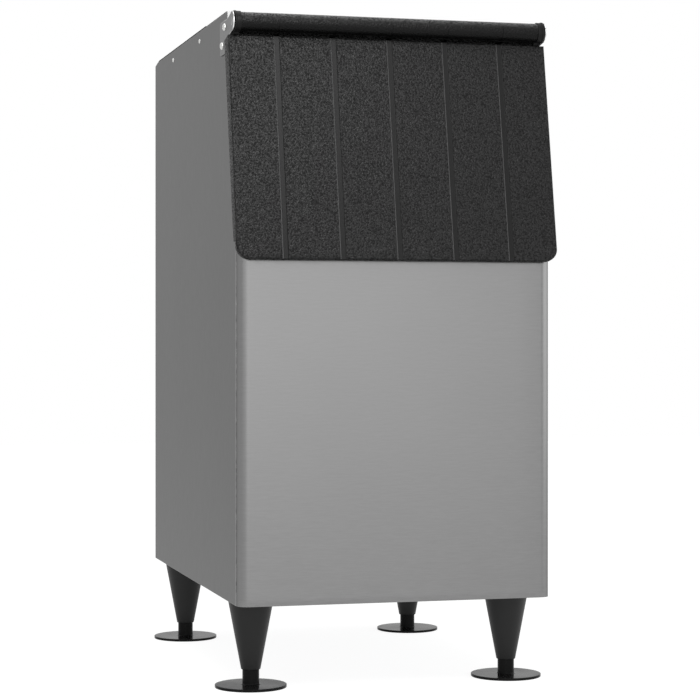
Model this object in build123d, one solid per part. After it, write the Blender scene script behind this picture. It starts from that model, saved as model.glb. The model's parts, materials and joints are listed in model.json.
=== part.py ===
from build123d import *
import os
from math import atan2, cos, degrees, radians, sin, sqrt

os.makedirs("parts", exist_ok=True)

# Ice storage bin in millimetres: X to the right, Y to the rear, Z up.
# Pieces are drawn with X = 0 at the middle, Y = 0 at the front panel and Z = 0 at the floor.
# export_node moves them so that the origin lies under the middle of the whole bin.

# Driving sizes of the cabinet
body_width = 558.8
body_depth = 825.5
body_height = 1016.0
leg_height = 152.4
front_height = 587.0
slope_setback = 93.0
corner_radius = 19.0
sheet = 1.0
overrun = 50.0

# Insulated walls and the moulded liner
side_wall = 45.0
front_wall = 46.0
rear_wall = 50.0
floor_wall_front = 108.0
floor_wall_rear = 74.0
liner_wall = 3.0
liner_corner = 26.0
throat_lip = 6.0
throat_bottom = 42.0
throat_header = 85.0
throat_corner = 22.0
plug_corner = 16.0
frame_strip = 3.0
front_lap = 14.0
seam_gap = 0.8

# Skin flanges, rails and the top tape
top_flange = 22.0
rear_flange = 16.0
rear_chamfer_depth = 20.0
rear_chamfer_drop = 8.0
base_sheet = 1.5
base_upstand = 24.0
rail_sheet = 1.5
rail_drop = 32.0
rail_shelf = 26.0
header_front = 38.0
header_top = 42.0
tape_width = 18.0
tape_thickness = 3.0
tape_inset = 1.5
tape_front_setback = 20.0

# Door
door_overhang = 6.0
door_header = 45.0
door_bottom_proud = 17.3
door_top_cover = 38.6
door_wall = 3.0
door_corner = 22.0
door_edge_round = 2.4
door_gap = 6.0
door_lap = 7.0
lap_start = 34.0
groove_margin = 84.6
groove_count = 5
groove_width = 9.0
groove_depth = 1.2
inner_sheet = 2.5
plug_clearance = 7.0
plug_depth = 20.0
plug_draft = 8.0
seal_width = 14.0
seal_margin = 4.0
seal_relief = 0.3

# Hinge
hinge_cover = 46.0
hinge_drop = 23.5
roll_radius = 16.0
roll_seam_width = 1.4
roll_seam_depth = 0.6
ledge_height = 7.0
ledge_setback = 4.0
ledge_depth = 17.0
notch_width = 10.0
notch_depth = 8.0
neck_front_setback = 8.0
roll_join_angle = 50.0
cheek_radius = 18.5
cheek_thickness = 7.2
cheek_front_setback = 2.5
bracket_sheet = 2.0
bracket_ear_radius = 17.5
bracket_rear_y = 146.0
bracket_top_drop = 14.0
bracket_bottom_drop = 72.0
bracket_shoulder_y = 80.0
bracket_waist_y = 76.0
bracket_waist_drop = 46.0
bracket_heel_y = 104.0
bracket_corner = 5.0
pin_radius = 5.0
pin_length = 29.0
pin_running = 0.05
bush_radius = 7.5
bush_length = 27.0
bush_collar_radius = 11.0
bush_collar = 1.0
backing_sheet = 4.0
backing_edge = 12.0

# Screws
hinge_screw_y = (104.0, 125.5)
hinge_screw_drop = (26.0, 55.8)
hinge_screw_radius = 3.1
hinge_screw_head_radius = 6.6
hinge_screw_head = 4.4
side_screw_y = (343.0, 617.0)
side_screw_drop = 18.0
side_screw_radius = 2.1
side_screw_head_radius = 4.2
side_screw_head = 2.2
side_screw_length = 9.0
rear_screw_inset = 8.0
rear_screw_rows = 4
rear_screw_margin = 90.0
shell_screw_columns = 5
shell_screw_radius = 1.7
shell_screw_head_radius = 3.6
shell_screw_head = 1.6
shell_screw_length = 6.0

# Drain
drain_rise = 20.0
drain_bore = 12.1
drain_tube_radius = 17.0
drain_flange_radius = 26.0
drain_flange = 3.0
drain_stickout = 12.0
drain_nut_radius = 23.0
drain_nut_thickness = 8.0
drain_washer_radius = 25.0
drain_washer = 2.0

# Legs and levelling feet
leg_side_inset = 45.6
leg_front_inset = 111.8
leg_rear_inset = 92.5
leg_top_radius = 39.5
leg_bottom_radius = 17.0
leg_cone_height = 121.5
leg_collar = 3.0
leg_bore_radius = 15.4
leg_bore_depth = 62.0
leg_thread_depth = 53.0
foot_disc_radius = 62.6
foot_disc = 3.4
foot_stem_radius = 14.7
foot_stem_reach = 32.0
foot_rod_radius = 8.0
foot_rod_length = 54.0
foot_fillet = 2.5
thread_running = 0.06
stud_radius = 4.8
stud_length = 34.0
stud_sunk = 4.0
leg_plate_size = 80.0
leg_plate = 3.0
stud_nut_radius = 9.0
stud_nut = 8.0

# Derived heights, angles and planes
body_bottom = leg_height
body_top = leg_height + body_height
slope_start = body_bottom + front_height
slope_rise = body_height - front_height
slope_angle = degrees(atan2(slope_setback, slope_rise))
slope_length = sqrt(slope_setback ** 2 + slope_rise ** 2)
half_width = body_width / 2
inner_half = half_width - sheet
cavity_half = half_width - side_wall
throat_half = cavity_half - throat_lip
throat_top = slope_length - throat_header

door_half = half_width + door_overhang
door_rise = slope_rise - door_header
door_top_y = slope_setback - door_top_cover
face_travel = door_top_y + door_bottom_proud
face_angle = degrees(atan2(face_travel, door_rise))
face_length = sqrt(face_travel ** 2 + door_rise ** 2)
hinge_y = slope_setback - hinge_cover
hinge_z = body_top - hinge_drop
cheek_outer = half_width - bush_collar - seal_relief / 2
roll_half = cheek_outer - cheek_thickness
groove_pitch = 2 * (door_half - groove_margin) / (groove_count - 1)
leg_x = half_width - leg_side_inset
leg_rear_y = body_depth - leg_rear_inset

slope_plane = Plane(
    origin=(0, 0, slope_start),
    x_dir=(1, 0, 0),
    z_dir=(0, -cos(radians(slope_angle)), sin(radians(slope_angle))),
)
face_plane = Plane(
    origin=(0, -door_bottom_proud, slope_start),
    x_dir=(1, 0, 0),
    z_dir=(0, -cos(radians(face_angle)), sin(radians(face_angle))),
)
hinge_local = face_plane.to_local_coords(Vector(0, hinge_y, hinge_z))

# The floor projection of the whole bin runs from the door's lower edge to the drain's end.
edge_share = cos(radians(face_angle)) + sin(radians(face_angle)) - 1
whole_front = door_edge_round * edge_share - door_bottom_proud
whole_rear = body_depth + drain_stickout
origin_y = (whole_front + whole_rear) / 2


def export_node(name, shape):
    """Write one named piece, moved to the part's own origin."""
    moved = Pos(0, -origin_y, 0) * shape
    moved.label = name
    export_step(moved, f"parts/{name}.step")


def block(x_range, y_range, z_range, plane=Plane.XY):
    """A box between three pairs of limits, in the axes of the plane."""
    size = [high - low for low, high in (x_range, y_range, z_range)]
    middle = [(high + low) / 2 for low, high in (x_range, y_range, z_range)]
    return plane * Pos(*middle) * Box(*size)


def profile(points):
    """A flat face through the points, in order."""
    return make_face(Polyline(*points, close=True))


def along_x(face, x_min, x_max):
    """Extrude a face drawn in (Y, Z) from one X to another."""
    return extrude(Plane.YZ.offset(x_min) * face, amount=x_max - x_min)


def disc_x(radius, x_min, x_max, y, z):
    """A cylinder along X."""
    return along_x(Pos(y, z) * Circle(radius), x_min, x_max)


def disc_y(radius, y_min, y_max, x, z):
    """A cylinder along Y."""
    middle = (y_min + y_max) / 2
    return Pos(x, middle, z) * Rot(90, 0, 0) * Cylinder(radius, y_max - y_min)


def disc_z(radius, z_min, z_max, x, y):
    """A cylinder along Z."""
    return Pos(x, y, (z_min + z_max) / 2) * Cylinder(radius, z_max - z_min)


def rounded_front(half, low, high, top_radius, bottom_radius):
    """A rectangle from low to high with its own radius at the top and at the bottom."""
    sheet_face = Pos(0, (low + high) / 2) * Rectangle(2 * half, high - low)
    corners = sheet_face.vertices().sort_by(Axis.Y)
    if bottom_radius:
        sheet_face = fillet(corners[:2], bottom_radius)
    if top_radius:
        sheet_face = fillet(sheet_face.vertices().sort_by(Axis.Y)[-2:], top_radius)
    return sheet_face


def in_front_of(plane):
    """Everything within reach on the outer side of a plane."""
    reach = body_height + body_depth
    return block((-reach, reach), (-reach, reach), (0, reach), plane)


def slope_y(z):
    """Depth of the sloped front at a height."""
    return slope_setback * (z - slope_start) / slope_rise


def plan_outline(inset):
    """The cabinet's outline from above, round at the two front corners, moved inwards."""
    half = half_width - inset
    outline = Pos(0, body_depth / 2) * Rectangle(2 * half, body_depth - 2 * inset)
    front_corners = outline.vertices().sort_by(Axis.Y)[:2]
    return fillet(front_corners, corner_radius - inset)


def cabinet_core(inset):
    """The solid cabinet inside its skins, cut by the sloped front."""
    core = extrude(Pos(0, 0, body_bottom) * plan_outline(inset), amount=body_height - inset)
    return core - in_front_of(slope_plane.offset(-inset))


# Cabinet skins


def front_panel():
    """Flat front with two rounded corners and a hidden lap strip behind each side panel."""
    outer = extrude(Pos(0, 0, body_bottom) * plan_outline(0), amount=body_height)
    inner = extrude(Pos(0, 0, body_bottom) * plan_outline(sheet), amount=body_height)
    skin = outer - inner
    skin -= block((-body_width, body_width), (corner_radius, body_depth + overrun), (0, body_top + overrun))
    for side in (-1, 1):
        edge = inner_half * side
        lap = block(
            sorted((edge, edge - sheet * side)),
            (corner_radius - sheet, corner_radius + front_lap),
            (body_bottom + base_upstand, body_top),
        )
        skin += lap
    skin -= in_front_of(slope_plane)
    return skin - header_zone()


def header_zone():
    """The height just below the top, which belongs to the header."""
    return block(
        (-body_width, body_width), (-overrun, body_depth), (body_top - header_front, body_top + overrun)
    )


def side_outline():
    """The side panel's outline in depth and height, with the small drop at its rear corner."""
    slope_top = body_top - sheet
    seam = corner_radius + seam_gap
    seam_z = slope_start + seam * slope_rise / slope_setback
    return profile([
        (seam, body_bottom),
        (body_depth, body_bottom),
        (body_depth, body_top - rear_chamfer_drop),
        (body_depth - rear_chamfer_depth, body_top),
        (slope_y(body_top), body_top),
        (slope_y(slope_top), slope_top),
        (seam, seam_z),
    ])


def side_panel(side):
    """One stainless side with a flange turned in at its top and one at its rear."""
    skin = along_x(side_outline(), *sorted((inner_half * side, half_width * side)))
    top = block(
        sorted(((inner_half - top_flange) * side, inner_half * side)),
        (slope_y(body_top) + sheet, body_depth - rear_chamfer_depth),
        (body_top - sheet, body_top),
    )
    rear = block(
        sorted(((inner_half - rear_flange) * side, inner_half * side)),
        (body_depth - 2 * sheet, body_depth - sheet),
        (body_bottom + base_upstand, body_top - rear_chamfer_drop - rail_drop),
    )
    holes = [
        disc_x(side_screw_radius, *sorted((0, body_width * side)), y, body_top - side_screw_drop)
        for y in side_screw_y
    ]
    holes += [
        disc_x(hinge_screw_radius, *sorted((0, body_width * side)), y, body_top - drop)
        for y, drop in zip(hinge_screw_y, hinge_screw_drop)
    ]
    holes += [
        disc_y(side_screw_radius, body_depth - overrun, body_depth + overrun, x, z)
        for x, z in rear_screw_places() if x * side > 0
    ]
    return skin + top + rear - holes


def rear_screw_places():
    """Where the rear panel's screws stand, as (X, Z)."""
    low = body_bottom + rear_screw_margin
    high = body_top - rear_screw_margin
    step = (high - low) / (rear_screw_rows - 1)
    x = inner_half - rear_screw_inset
    return [(side * x, low + row * step) for side in (-1, 1) for row in range(rear_screw_rows)]


def drain_z():
    """Height of the drain's axis."""
    return body_bottom + floor_wall_rear + drain_rise


def rear_panel():
    """Galvanised back between the side skins, with a stepped flange at its top."""
    wall = block(
        (-inner_half, inner_half),
        (body_depth - sheet, body_depth),
        (body_bottom, body_top - rear_chamfer_drop),
    )
    flange = block(
        (-inner_half, inner_half),
        (body_depth - rear_chamfer_depth - sheet, body_depth),
        (body_top - rear_chamfer_drop - sheet, body_top - rear_chamfer_drop),
    )
    riser = block(
        (-inner_half, inner_half),
        (body_depth - rear_chamfer_depth - sheet, body_depth - rear_chamfer_depth),
        (body_top - rear_chamfer_drop - sheet, body_top - sheet),
    )
    holes = [
        disc_y(side_screw_radius, body_depth - overrun, body_depth + overrun, x, z)
        for x, z in rear_screw_places()
    ]
    drain_hole = disc_y(
        drain_tube_radius + seal_relief, body_depth - overrun, body_depth + overrun, 0, drain_z()
    )
    return wall + flange + riser - holes - drain_hole


def base_pan():
    """Galvanised tray that closes the bottom and carries the legs."""
    floor = extrude(Pos(0, 0, body_bottom) * plan_outline(sheet), amount=base_upstand)
    hollow = extrude(
        Pos(0, 0, body_bottom + base_sheet) * plan_outline(sheet + base_sheet), amount=base_upstand
    )
    studs = [disc_z(stud_radius, 0, body_top, x, y) for x, y in leg_places().values()]
    return floor - hollow - studs


def top_rail(side):
    """Angle under the top edge of one side that takes the weight of the ice machine."""
    shelf_top = body_top - sheet - liner_wall
    y_range = (slope_y(body_top) + 2 * frame_strip, body_depth - rear_chamfer_depth - sheet)
    leg = block(
        sorted(((inner_half - rail_sheet) * side, inner_half * side)),
        y_range, (shelf_top - rail_drop, shelf_top),
    )
    shelf = block(
        sorted(((inner_half - rail_shelf) * side, inner_half * side)),
        y_range, (shelf_top - rail_sheet, shelf_top),
    )
    holes = [
        disc_x(side_screw_radius, *sorted((0, body_width * side)), y, body_top - side_screw_drop)
        for y in side_screw_y
    ]
    plate_room = block(
        sorted((0, half_width * side)),
        (0, bracket_rear_y + seal_relief),
        (body_top - bracket_bottom_drop, shelf_top - rail_sheet),
    )
    return leg + shelf - holes - plate_room


def header_cap():
    """Folded stainless strip over the front edge of the top, behind the hinge roll."""
    front = block(
        (-inner_half, inner_half), (slope_length - header_front, slope_length), (-sheet, 0), slope_plane
    )
    top = block(
        (-inner_half + top_flange, inner_half - top_flange),
        (slope_y(body_top), slope_y(body_top) + header_top),
        (body_top - sheet, body_top),
    )
    ends = block((-body_width, body_width), (-overrun, body_depth), (body_top, body_top + overrun))
    return front + top - ends


# Liner, insulation and the frame of the front opening


def cavity_outline():
    """The ice space seen from the side, with its floor falling to the drain."""
    lean = front_wall / cos(radians(slope_angle))
    knee = slope_start - (lean - front_wall) * slope_rise / slope_setback
    top = body_top + overrun
    return profile([
        (front_wall, body_bottom + floor_wall_front),
        (body_depth - rear_wall, body_bottom + floor_wall_rear),
        (body_depth - rear_wall, top),
        (slope_y(top) + lean, top),
        (front_wall, knee),
    ])


def cavity(extra):
    """The ice space as a solid, grown outwards by the liner's wall when extra is given."""
    outline = offset(cavity_outline(), amount=extra, kind=Kind.INTERSECTION) if extra else cavity_outline()
    half = cavity_half + extra
    solid = along_x(outline, -half, half)
    corners = [
        edge for edge in solid.edges()
        if edge.center().Z < body_top and edge.length > corner_radius
    ]
    return fillet(corners, liner_corner + extra)


def throat(grow):
    """The slanted way through the front, as a solid."""
    outline = rounded_front(
        throat_half + grow, throat_bottom - grow, throat_top + grow,
        throat_corner + grow, throat_corner + grow,
    )
    depth = front_wall + liner_corner
    return extrude(slope_plane.offset(-depth) * outline, amount=depth + overrun)


def liner():
    """One-piece moulded tub with its top flange and the flange round the front opening."""
    shelf_top = body_top - sheet
    tub = cavity(liner_wall) - block(
        (-body_width, body_width), (-overrun, body_depth), (shelf_top, body_top + 2 * overrun)
    )
    top_plate = extrude(Pos(0, 0, shelf_top - liner_wall) * plan_outline(sheet), amount=liner_wall)
    top_plate -= block(
        (-body_width, body_width), (body_depth - rear_chamfer_depth - sheet, body_depth), (0, body_top)
    )
    front_plate = block(
        (-inner_half, inner_half),
        (sheet, slope_length - header_front),
        (-frame_strip - liner_wall, -frame_strip),
        slope_plane,
    )
    shell = tub + throat(liner_wall) + top_plate + front_plate
    shell &= extrude(Pos(0, 0, body_bottom) * plan_outline(sheet), amount=body_height)
    shell -= in_front_of(slope_plane.offset(-frame_strip))
    drain_way = disc_y(drain_tube_radius, body_depth - rear_wall - overrun, body_depth, 0, drain_z())
    return shell - cavity(0) - throat(0) - drain_way - front_panel()


def throat_strips():
    """The four flat strips round the front opening, level with the sloped front."""
    low, high = throat_bottom, throat_top
    end = slope_length - header_front
    depth = (-frame_strip, 0)
    strips = {
        "throat_strip_bottom": block((-inner_half, inner_half), (2 * sheet, low), depth, slope_plane),
        "throat_strip_top": block((-inner_half, inner_half), (high, end), depth, slope_plane),
        "throat_strip_left": block((-inner_half, -throat_half), (low, high), depth, slope_plane),
        "throat_strip_right": block((throat_half, inner_half), (low, high), depth, slope_plane),
    }
    room = extrude(Pos(0, 0, body_bottom) * plan_outline(sheet), amount=body_height) - front_panel()
    return {name: strip & room for name, strip in strips.items()}


def insulation(neighbours):
    """Foamed-in insulation that fills the room between the skins and the liner."""
    filling = cabinet_core(sheet)
    filling -= cavity(liner_wall)
    filling -= throat(liner_wall)
    filling -= in_front_of(slope_plane.offset(-frame_strip))
    for piece in neighbours:
        filling -= piece
    return max(filling.solids(), key=lambda solid: solid.volume)


def top_tape():
    """Four strips of soft tape round the top opening."""
    edge = inner_half - tape_inset
    front = slope_y(body_top) + tape_front_setback
    rear = body_depth - rear_chamfer_depth - tape_inset
    z_range = (body_top, body_top + tape_thickness)
    strips = {
        "top_tape_front": block((-edge, edge), (front, front + tape_width), z_range),
        "top_tape_rear": block((-edge, edge), (rear - tape_width, rear), z_range) + block(
            (-inner_half + top_flange, inner_half - top_flange),
            (rear - tape_width, rear), (body_top - sheet, body_top),
        ),
    }
    for side, label in ((-1, "left"), (1, "right")):
        strips[f"top_tape_{label}"] = block(
            sorted((edge * side, (edge - tape_width) * side)),
            (front + tape_width, rear - tape_width), z_range,
        )
    return strips


# Drain


def drain_fitting():
    """Flanged pipe stub through the rear wall, with a tapped outlet."""
    outside = body_depth - rear_wall + liner_wall
    z = drain_z()
    flange = disc_y(drain_flange_radius, outside, outside + drain_flange, 0, z)
    tube = disc_y(drain_tube_radius, outside - liner_corner, whole_rear, 0, z)
    bore = disc_y(drain_bore, outside - overrun, whole_rear + overrun, 0, z)
    return flange + tube - bore - cavity(0)


def drain_ring(radius, y_min, thickness, sides=0):
    """A washer or, with sides, a nut round the drain's pipe."""
    z = drain_z()
    if sides:
        face = Plane.XZ.offset(-(y_min + thickness)) * Pos(0, z) * RegularPolygon(radius, sides)
        ring = extrude(face, amount=thickness)
    else:
        ring = disc_y(radius, y_min, y_min + thickness, 0, z)
    return ring - disc_y(drain_tube_radius, y_min - overrun, y_min + overrun, 0, z)


# Door


def door_outline(inset):
    """The door's front outline, with round lower corners."""
    return rounded_front(
        door_half - inset, inset, face_length - inset, 0, max(door_corner - inset, sheet)
    )


def door_blank():
    """The outside form of the door: a wedge with side laps that reach past the sloped front."""
    rear_plane = slope_plane.offset(door_gap)
    lap_plane = slope_plane.offset(-door_lap)
    deep = extrude(face_plane * door_outline(0), amount=-overrun - door_top_y)
    body = deep & in_front_of(rear_plane)
    laps = deep & in_front_of(lap_plane)
    laps &= block((-body_width, body_width), (lap_start, face_length), (-body_depth, 0), face_plane)
    laps -= block((-door_half + door_wall, door_half - door_wall), (-overrun, body_height),
                  (-body_depth, overrun), face_plane)
    blank = body + laps
    rim = [edge for edge in blank.edges() if is_on_face(edge)]
    return fillet(rim, door_edge_round)


def is_on_face(edge):
    """Whether an edge lies in the plane of the door's face."""
    ends = [face_plane.to_local_coords(point).Z for point in (edge @ 0, edge @ 1)]
    return max(abs(depth) for depth in ends) < seal_relief


def door_room():
    """The space inside the door's outer shell."""
    deep = extrude(face_plane.offset(-door_wall) * door_outline(door_wall), amount=-overrun - door_top_y)
    return deep & in_front_of(slope_plane.offset(door_gap))


def groove_places():
    """X of each groove, spread evenly about the middle."""
    first = -groove_pitch * (groove_count - 1) / 2
    return [first + index * groove_pitch for index in range(groove_count)]


def hinge_roll():
    """The round hinge barrel with its neck and the notched ledge on the door's top."""
    ledge_top = face_length + ledge_height
    ledge = block(
        (-roll_half, roll_half), (face_length - door_wall, ledge_top),
        (-ledge_setback - ledge_depth, -ledge_setback), face_plane,
    )
    for x in groove_places():
        ledge -= block(
            (x - notch_width / 2, x + notch_width / 2), (face_length, ledge_top + overrun),
            (-ledge_setback - notch_depth, overrun), face_plane,
        )
    back = -ledge_setback - ledge_depth
    neck_profile = profile([
        (-neck_front_setback, ledge_top - ledge_height / 2),
        (back, ledge_top - ledge_height / 2),
        (back, hinge_local.Y - roll_radius / 2),
        (hinge_local.Z - roll_radius * cos(radians(roll_join_angle)),
         hinge_local.Y + roll_radius * sin(radians(roll_join_angle))),
        (hinge_local.Z, hinge_local.Y),
    ])
    neck = extrude_on_face(neck_profile, -roll_half, roll_half)
    roll = disc_x(roll_radius, -roll_half, roll_half, hinge_y, hinge_z)
    core_radius = roll_radius - roll_seam_depth
    for x in groove_places():
        span = (x - roll_seam_width / 2, x + roll_seam_width / 2)
        ring = disc_x(roll_radius + roll_seam_depth, *span, hinge_y, hinge_z)
        roll -= ring - disc_x(core_radius, *span, hinge_y, hinge_z)
    return ledge + neck + roll


def extrude_on_face(face, x_min, x_max):
    """Extrude a face drawn as (outward, up the door) from one X to another."""
    section_plane = Plane(
        origin=face_plane.origin + Vector(x_min, 0, 0), x_dir=face_plane.z_dir, z_dir=(1, 0, 0)
    )
    flipped = section_plane * face
    up = section_plane.y_dir.dot(face_plane.y_dir)
    if up < 0:
        flipped = section_plane * mirror(face, about=Plane.XZ)
    return extrude(flipped, amount=x_max - x_min, dir=(1, 0, 0))


def bush_bores():
    """Holes for the two hinge bushes."""
    return [
        disc_x(bush_radius, *sorted(((cheek_outer - bush_length) * side, door_half * side)), hinge_y, hinge_z)
        for side in (-1, 1)
    ]


def door_shell():
    """Textured black outer moulding: grooved face, side laps, notched ledge, neck and hinge roll."""
    shell = door_blank() - door_room()
    for x in groove_places():
        shell -= block(
            (x - groove_width / 2, x + groove_width / 2), (-overrun, face_length + overrun),
            (-groove_depth, overrun), face_plane,
        )
    return shell + hinge_roll() - door_room() - bush_bores()


def hinge_cheek(side):
    """Drop-shaped end piece that closes the roll and holds the bush."""
    back = -ledge_setback - ledge_depth
    web = profile([
        (-cheek_front_setback, face_length),
        (back, face_length),
        (back, hinge_local.Y - roll_radius / 2),
        (hinge_local.Z - cheek_radius * cos(radians(roll_join_angle)),
         hinge_local.Y + cheek_radius * sin(radians(roll_join_angle))),
        (hinge_local.Z, hinge_local.Y),
    ])
    x_range = sorted((roll_half * side, cheek_outer * side))
    cheek = extrude_on_face(web, *x_range) + disc_x(cheek_radius, *x_range, hinge_y, hinge_z)
    return cheek - bush_bores()


def hinge_bush(side):
    """Flanged plastic bush that turns on the hinge pin."""
    inner_end = (cheek_outer - bush_length) * side
    sleeve = disc_x(bush_radius, *sorted((inner_end, cheek_outer * side)), hinge_y, hinge_z)
    collar_span = sorted((cheek_outer * side, (cheek_outer + bush_collar) * side))
    collar = disc_x(bush_collar_radius, *collar_span, hinge_y, hinge_z)
    bore = disc_x(pin_radius + pin_running, *sorted((0, body_width * side)), hinge_y, hinge_z)
    return sleeve + collar - bore


def plug(shrink, start, depth):
    """The part of the inner shell that stands into the opening, drafted on all sides."""
    margin = plug_clearance + shrink
    outline = rounded_front(
        throat_half - margin, throat_bottom + margin, throat_top - margin, plug_corner, plug_corner
    )
    return extrude(slope_plane.offset(start) * outline, amount=-depth, taper=plug_draft)


def door_inner_shell():
    """Inner moulding: a flat rim that closes the door and a plug that fills the opening."""
    rim = door_room() - in_front_of(slope_plane.offset(door_gap + inner_sheet))
    outer_plug = plug(0, door_gap, door_gap + plug_depth)
    hollow = plug(inner_sheet, door_gap + inner_sheet, door_gap + plug_depth)
    screws = [screw_hole(x, y) for x, y in shell_screw_places()]
    return rim + outer_plug - hollow - screws


def door_foam():
    """Insulation that fills the door between its two shells."""
    filling = door_room() & in_front_of(slope_plane.offset(door_gap + inner_sheet))
    hollow = plug(inner_sheet, door_gap + inner_sheet, door_gap + plug_depth)
    screws = [screw_hole(x, y) for x, y in shell_screw_places()]
    return filling + hollow - screws


def door_seal():
    """Soft ring round the plug that meets the frame of the opening."""
    grow = seal_margin + seal_width
    outer = rounded_front(
        throat_half + grow, throat_bottom - grow, throat_top + grow,
        throat_corner + grow, throat_corner + grow,
    )
    inner = rounded_front(
        throat_half + seal_margin, throat_bottom - seal_margin, throat_top + seal_margin,
        throat_corner + seal_margin, throat_corner + seal_margin,
    )
    return extrude(slope_plane.offset(seal_relief) * (outer - inner), amount=door_gap - seal_relief)


def shell_screw_places():
    """Places of the inner shell's screws on the sloped plane, midway between seal and outer wall."""
    seal = seal_margin + seal_width
    x_edge = (throat_half + seal + door_half - door_wall) / 2
    room_top = slope_local(face_length - door_wall)
    low = (door_wall + throat_bottom - seal) / 2
    high = (throat_top + seal + room_top) / 2
    step = 2 * x_edge / (shell_screw_columns - 1)
    rows = [
        (-x_edge + column * step, row) for row in (low, high) for column in range(shell_screw_columns)
    ]
    middle = (low + high) / 2
    return rows + [(-x_edge, middle), (x_edge, middle)]


def slope_local(height):
    """A place along the door's face, as a place along the cabinet's slope."""
    point = face_plane.from_local_coords(Vector(0, height, -door_wall))
    return slope_plane.to_local_coords(point).Y


def screw_hole(x, y):
    """Hole for one screw of the inner shell."""
    depth = shell_screw_length
    return slope_plane.offset(door_gap) * Pos(x, y, depth / 2) * Cylinder(shell_screw_radius, depth)


def door_screws():
    """Small screws that hold the inner shell to the outer one."""
    solids = []
    for x, y in shell_screw_places():
        shank = screw_hole(x, y)
        head = slope_plane.offset(door_gap - shell_screw_head) * Pos(x, y, shell_screw_head / 2) * Cylinder(
            shell_screw_head_radius, shell_screw_head
        )
        solids.append(shank + head)
    return Compound(solids)


# Hinge brackets, pins and fasteners on the cabinet


def bracket_outline():
    """Plate behind, ear in front: the bracket seen from the side."""
    z_top = body_top - bracket_top_drop
    z_bottom = body_top - bracket_bottom_drop
    plate = profile([
        (hinge_y, hinge_z + bracket_ear_radius),
        (bracket_shoulder_y, z_top),
        (bracket_rear_y, z_top),
        (bracket_rear_y, z_bottom),
        (bracket_heel_y, z_bottom),
        (bracket_waist_y, body_top - bracket_waist_drop),
        (hinge_y, hinge_z - bracket_ear_radius),
    ])
    square_corners = [point for point in plate.vertices() if abs(point.X - bracket_rear_y) < sheet]
    plate = fillet(square_corners, bracket_corner)
    return plate + Pos(hinge_y, hinge_z) * Circle(bracket_ear_radius)


def hinge_bracket(side):
    """Stainless plate on the side of the cabinet whose ear carries the hinge pin."""
    plate = along_x(bracket_outline(), *sorted((half_width * side, (half_width + bracket_sheet) * side)))
    reach = sorted((0, body_width * side))
    holes = [disc_x(pin_radius, *reach, hinge_y, hinge_z)]
    holes += [
        disc_x(hinge_screw_radius, *reach, y, body_top - drop)
        for y, drop in zip(hinge_screw_y, hinge_screw_drop)
    ]
    return plate - holes


def backing_plate(side):
    """Tapped steel plate behind the side skin for the bracket's screws."""
    low = body_top - hinge_screw_drop[1] - backing_edge
    high = body_top - hinge_screw_drop[0] + backing_edge
    plate = block(
        sorted(((inner_half - backing_sheet) * side, inner_half * side)),
        (hinge_screw_y[0] - backing_edge, hinge_screw_y[1] + backing_edge), (low, high),
    )
    reach = sorted((0, body_width * side))
    holes = [
        disc_x(hinge_screw_radius, *reach, y, body_top - drop)
        for y, drop in zip(hinge_screw_y, hinge_screw_drop)
    ]
    return plate - holes


def hinge_pin(side):
    """Steel pin pressed into the bracket's ear, level with its outer face."""
    outer = half_width + bracket_sheet
    return disc_x(pin_radius, *sorted(((outer - pin_length) * side, outer * side)), hinge_y, hinge_z)


def bracket_screws():
    """Two domed screws for each bracket."""
    solids = []
    face = half_width + bracket_sheet
    for side in (-1, 1):
        for y, drop in zip(hinge_screw_y, hinge_screw_drop):
            z = body_top - drop
            inner_end = inner_half - backing_sheet
            shank = disc_x(hinge_screw_radius, *sorted((inner_end * side, face * side)), y, z)
            head = disc_x(
                hinge_screw_head_radius, *sorted((face * side, (face + hinge_screw_head) * side)), y, z
            )
            rim = head.edges().filter_by(GeomType.CIRCLE).sort_by(Axis.X)[-1 if side > 0 else 0]
            solids.append(shank + fillet(rim, hinge_screw_head / 2))
    return Compound(solids)


def side_screws():
    """Small screws through the side skins into the top rails."""
    solids = []
    for side in (-1, 1):
        for y in side_screw_y:
            z = body_top - side_screw_drop
            inner_end = half_width - side_screw_length
            shank = disc_x(side_screw_radius, *sorted((inner_end * side, half_width * side)), y, z)
            head_span = sorted((half_width * side, (half_width + side_screw_head) * side))
            head = disc_x(side_screw_head_radius, *head_span, y, z)
            solids.append(shank + head)
    return Compound(solids)


def rear_screws():
    """Screws that hold the rear panel to the flanges of the side panels."""
    solids = []
    for x, z in rear_screw_places():
        shank = disc_y(side_screw_radius, body_depth - side_screw_length, body_depth, x, z)
        head = disc_y(side_screw_head_radius, body_depth, body_depth + side_screw_head, x, z)
        solids.append(shank + head)
    return Compound(solids)


# Legs and feet


def leg_places():
    """Leg names and their places under the base."""
    return {
        "front_left": (-leg_x, leg_front_inset),
        "front_right": (leg_x, leg_front_inset),
        "rear_left": (-leg_x, leg_rear_y),
        "rear_right": (leg_x, leg_rear_y),
    }


def leg_cone():
    """Tapered plastic leg with a bored end for the foot and a tapped bore above it."""
    low = leg_height - leg_cone_height
    high = leg_height
    section = profile([
        (0, low),
        (leg_bottom_radius, low),
        (leg_top_radius, high - leg_collar),
        (leg_top_radius, high),
        (0, high),
    ])
    cone = revolve(Plane.XZ * section, axis=Axis.Z)
    socket = disc_z(leg_bore_radius, low, low + leg_bore_depth, 0, 0)
    tapped = disc_z(
        foot_rod_radius + thread_running, low, low + leg_bore_depth + leg_thread_depth - stud_sunk, 0, 0
    )
    stud_hole = disc_z(stud_radius, high - stud_sunk, high, 0, 0)
    return cone - socket - tapped - stud_hole


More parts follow.
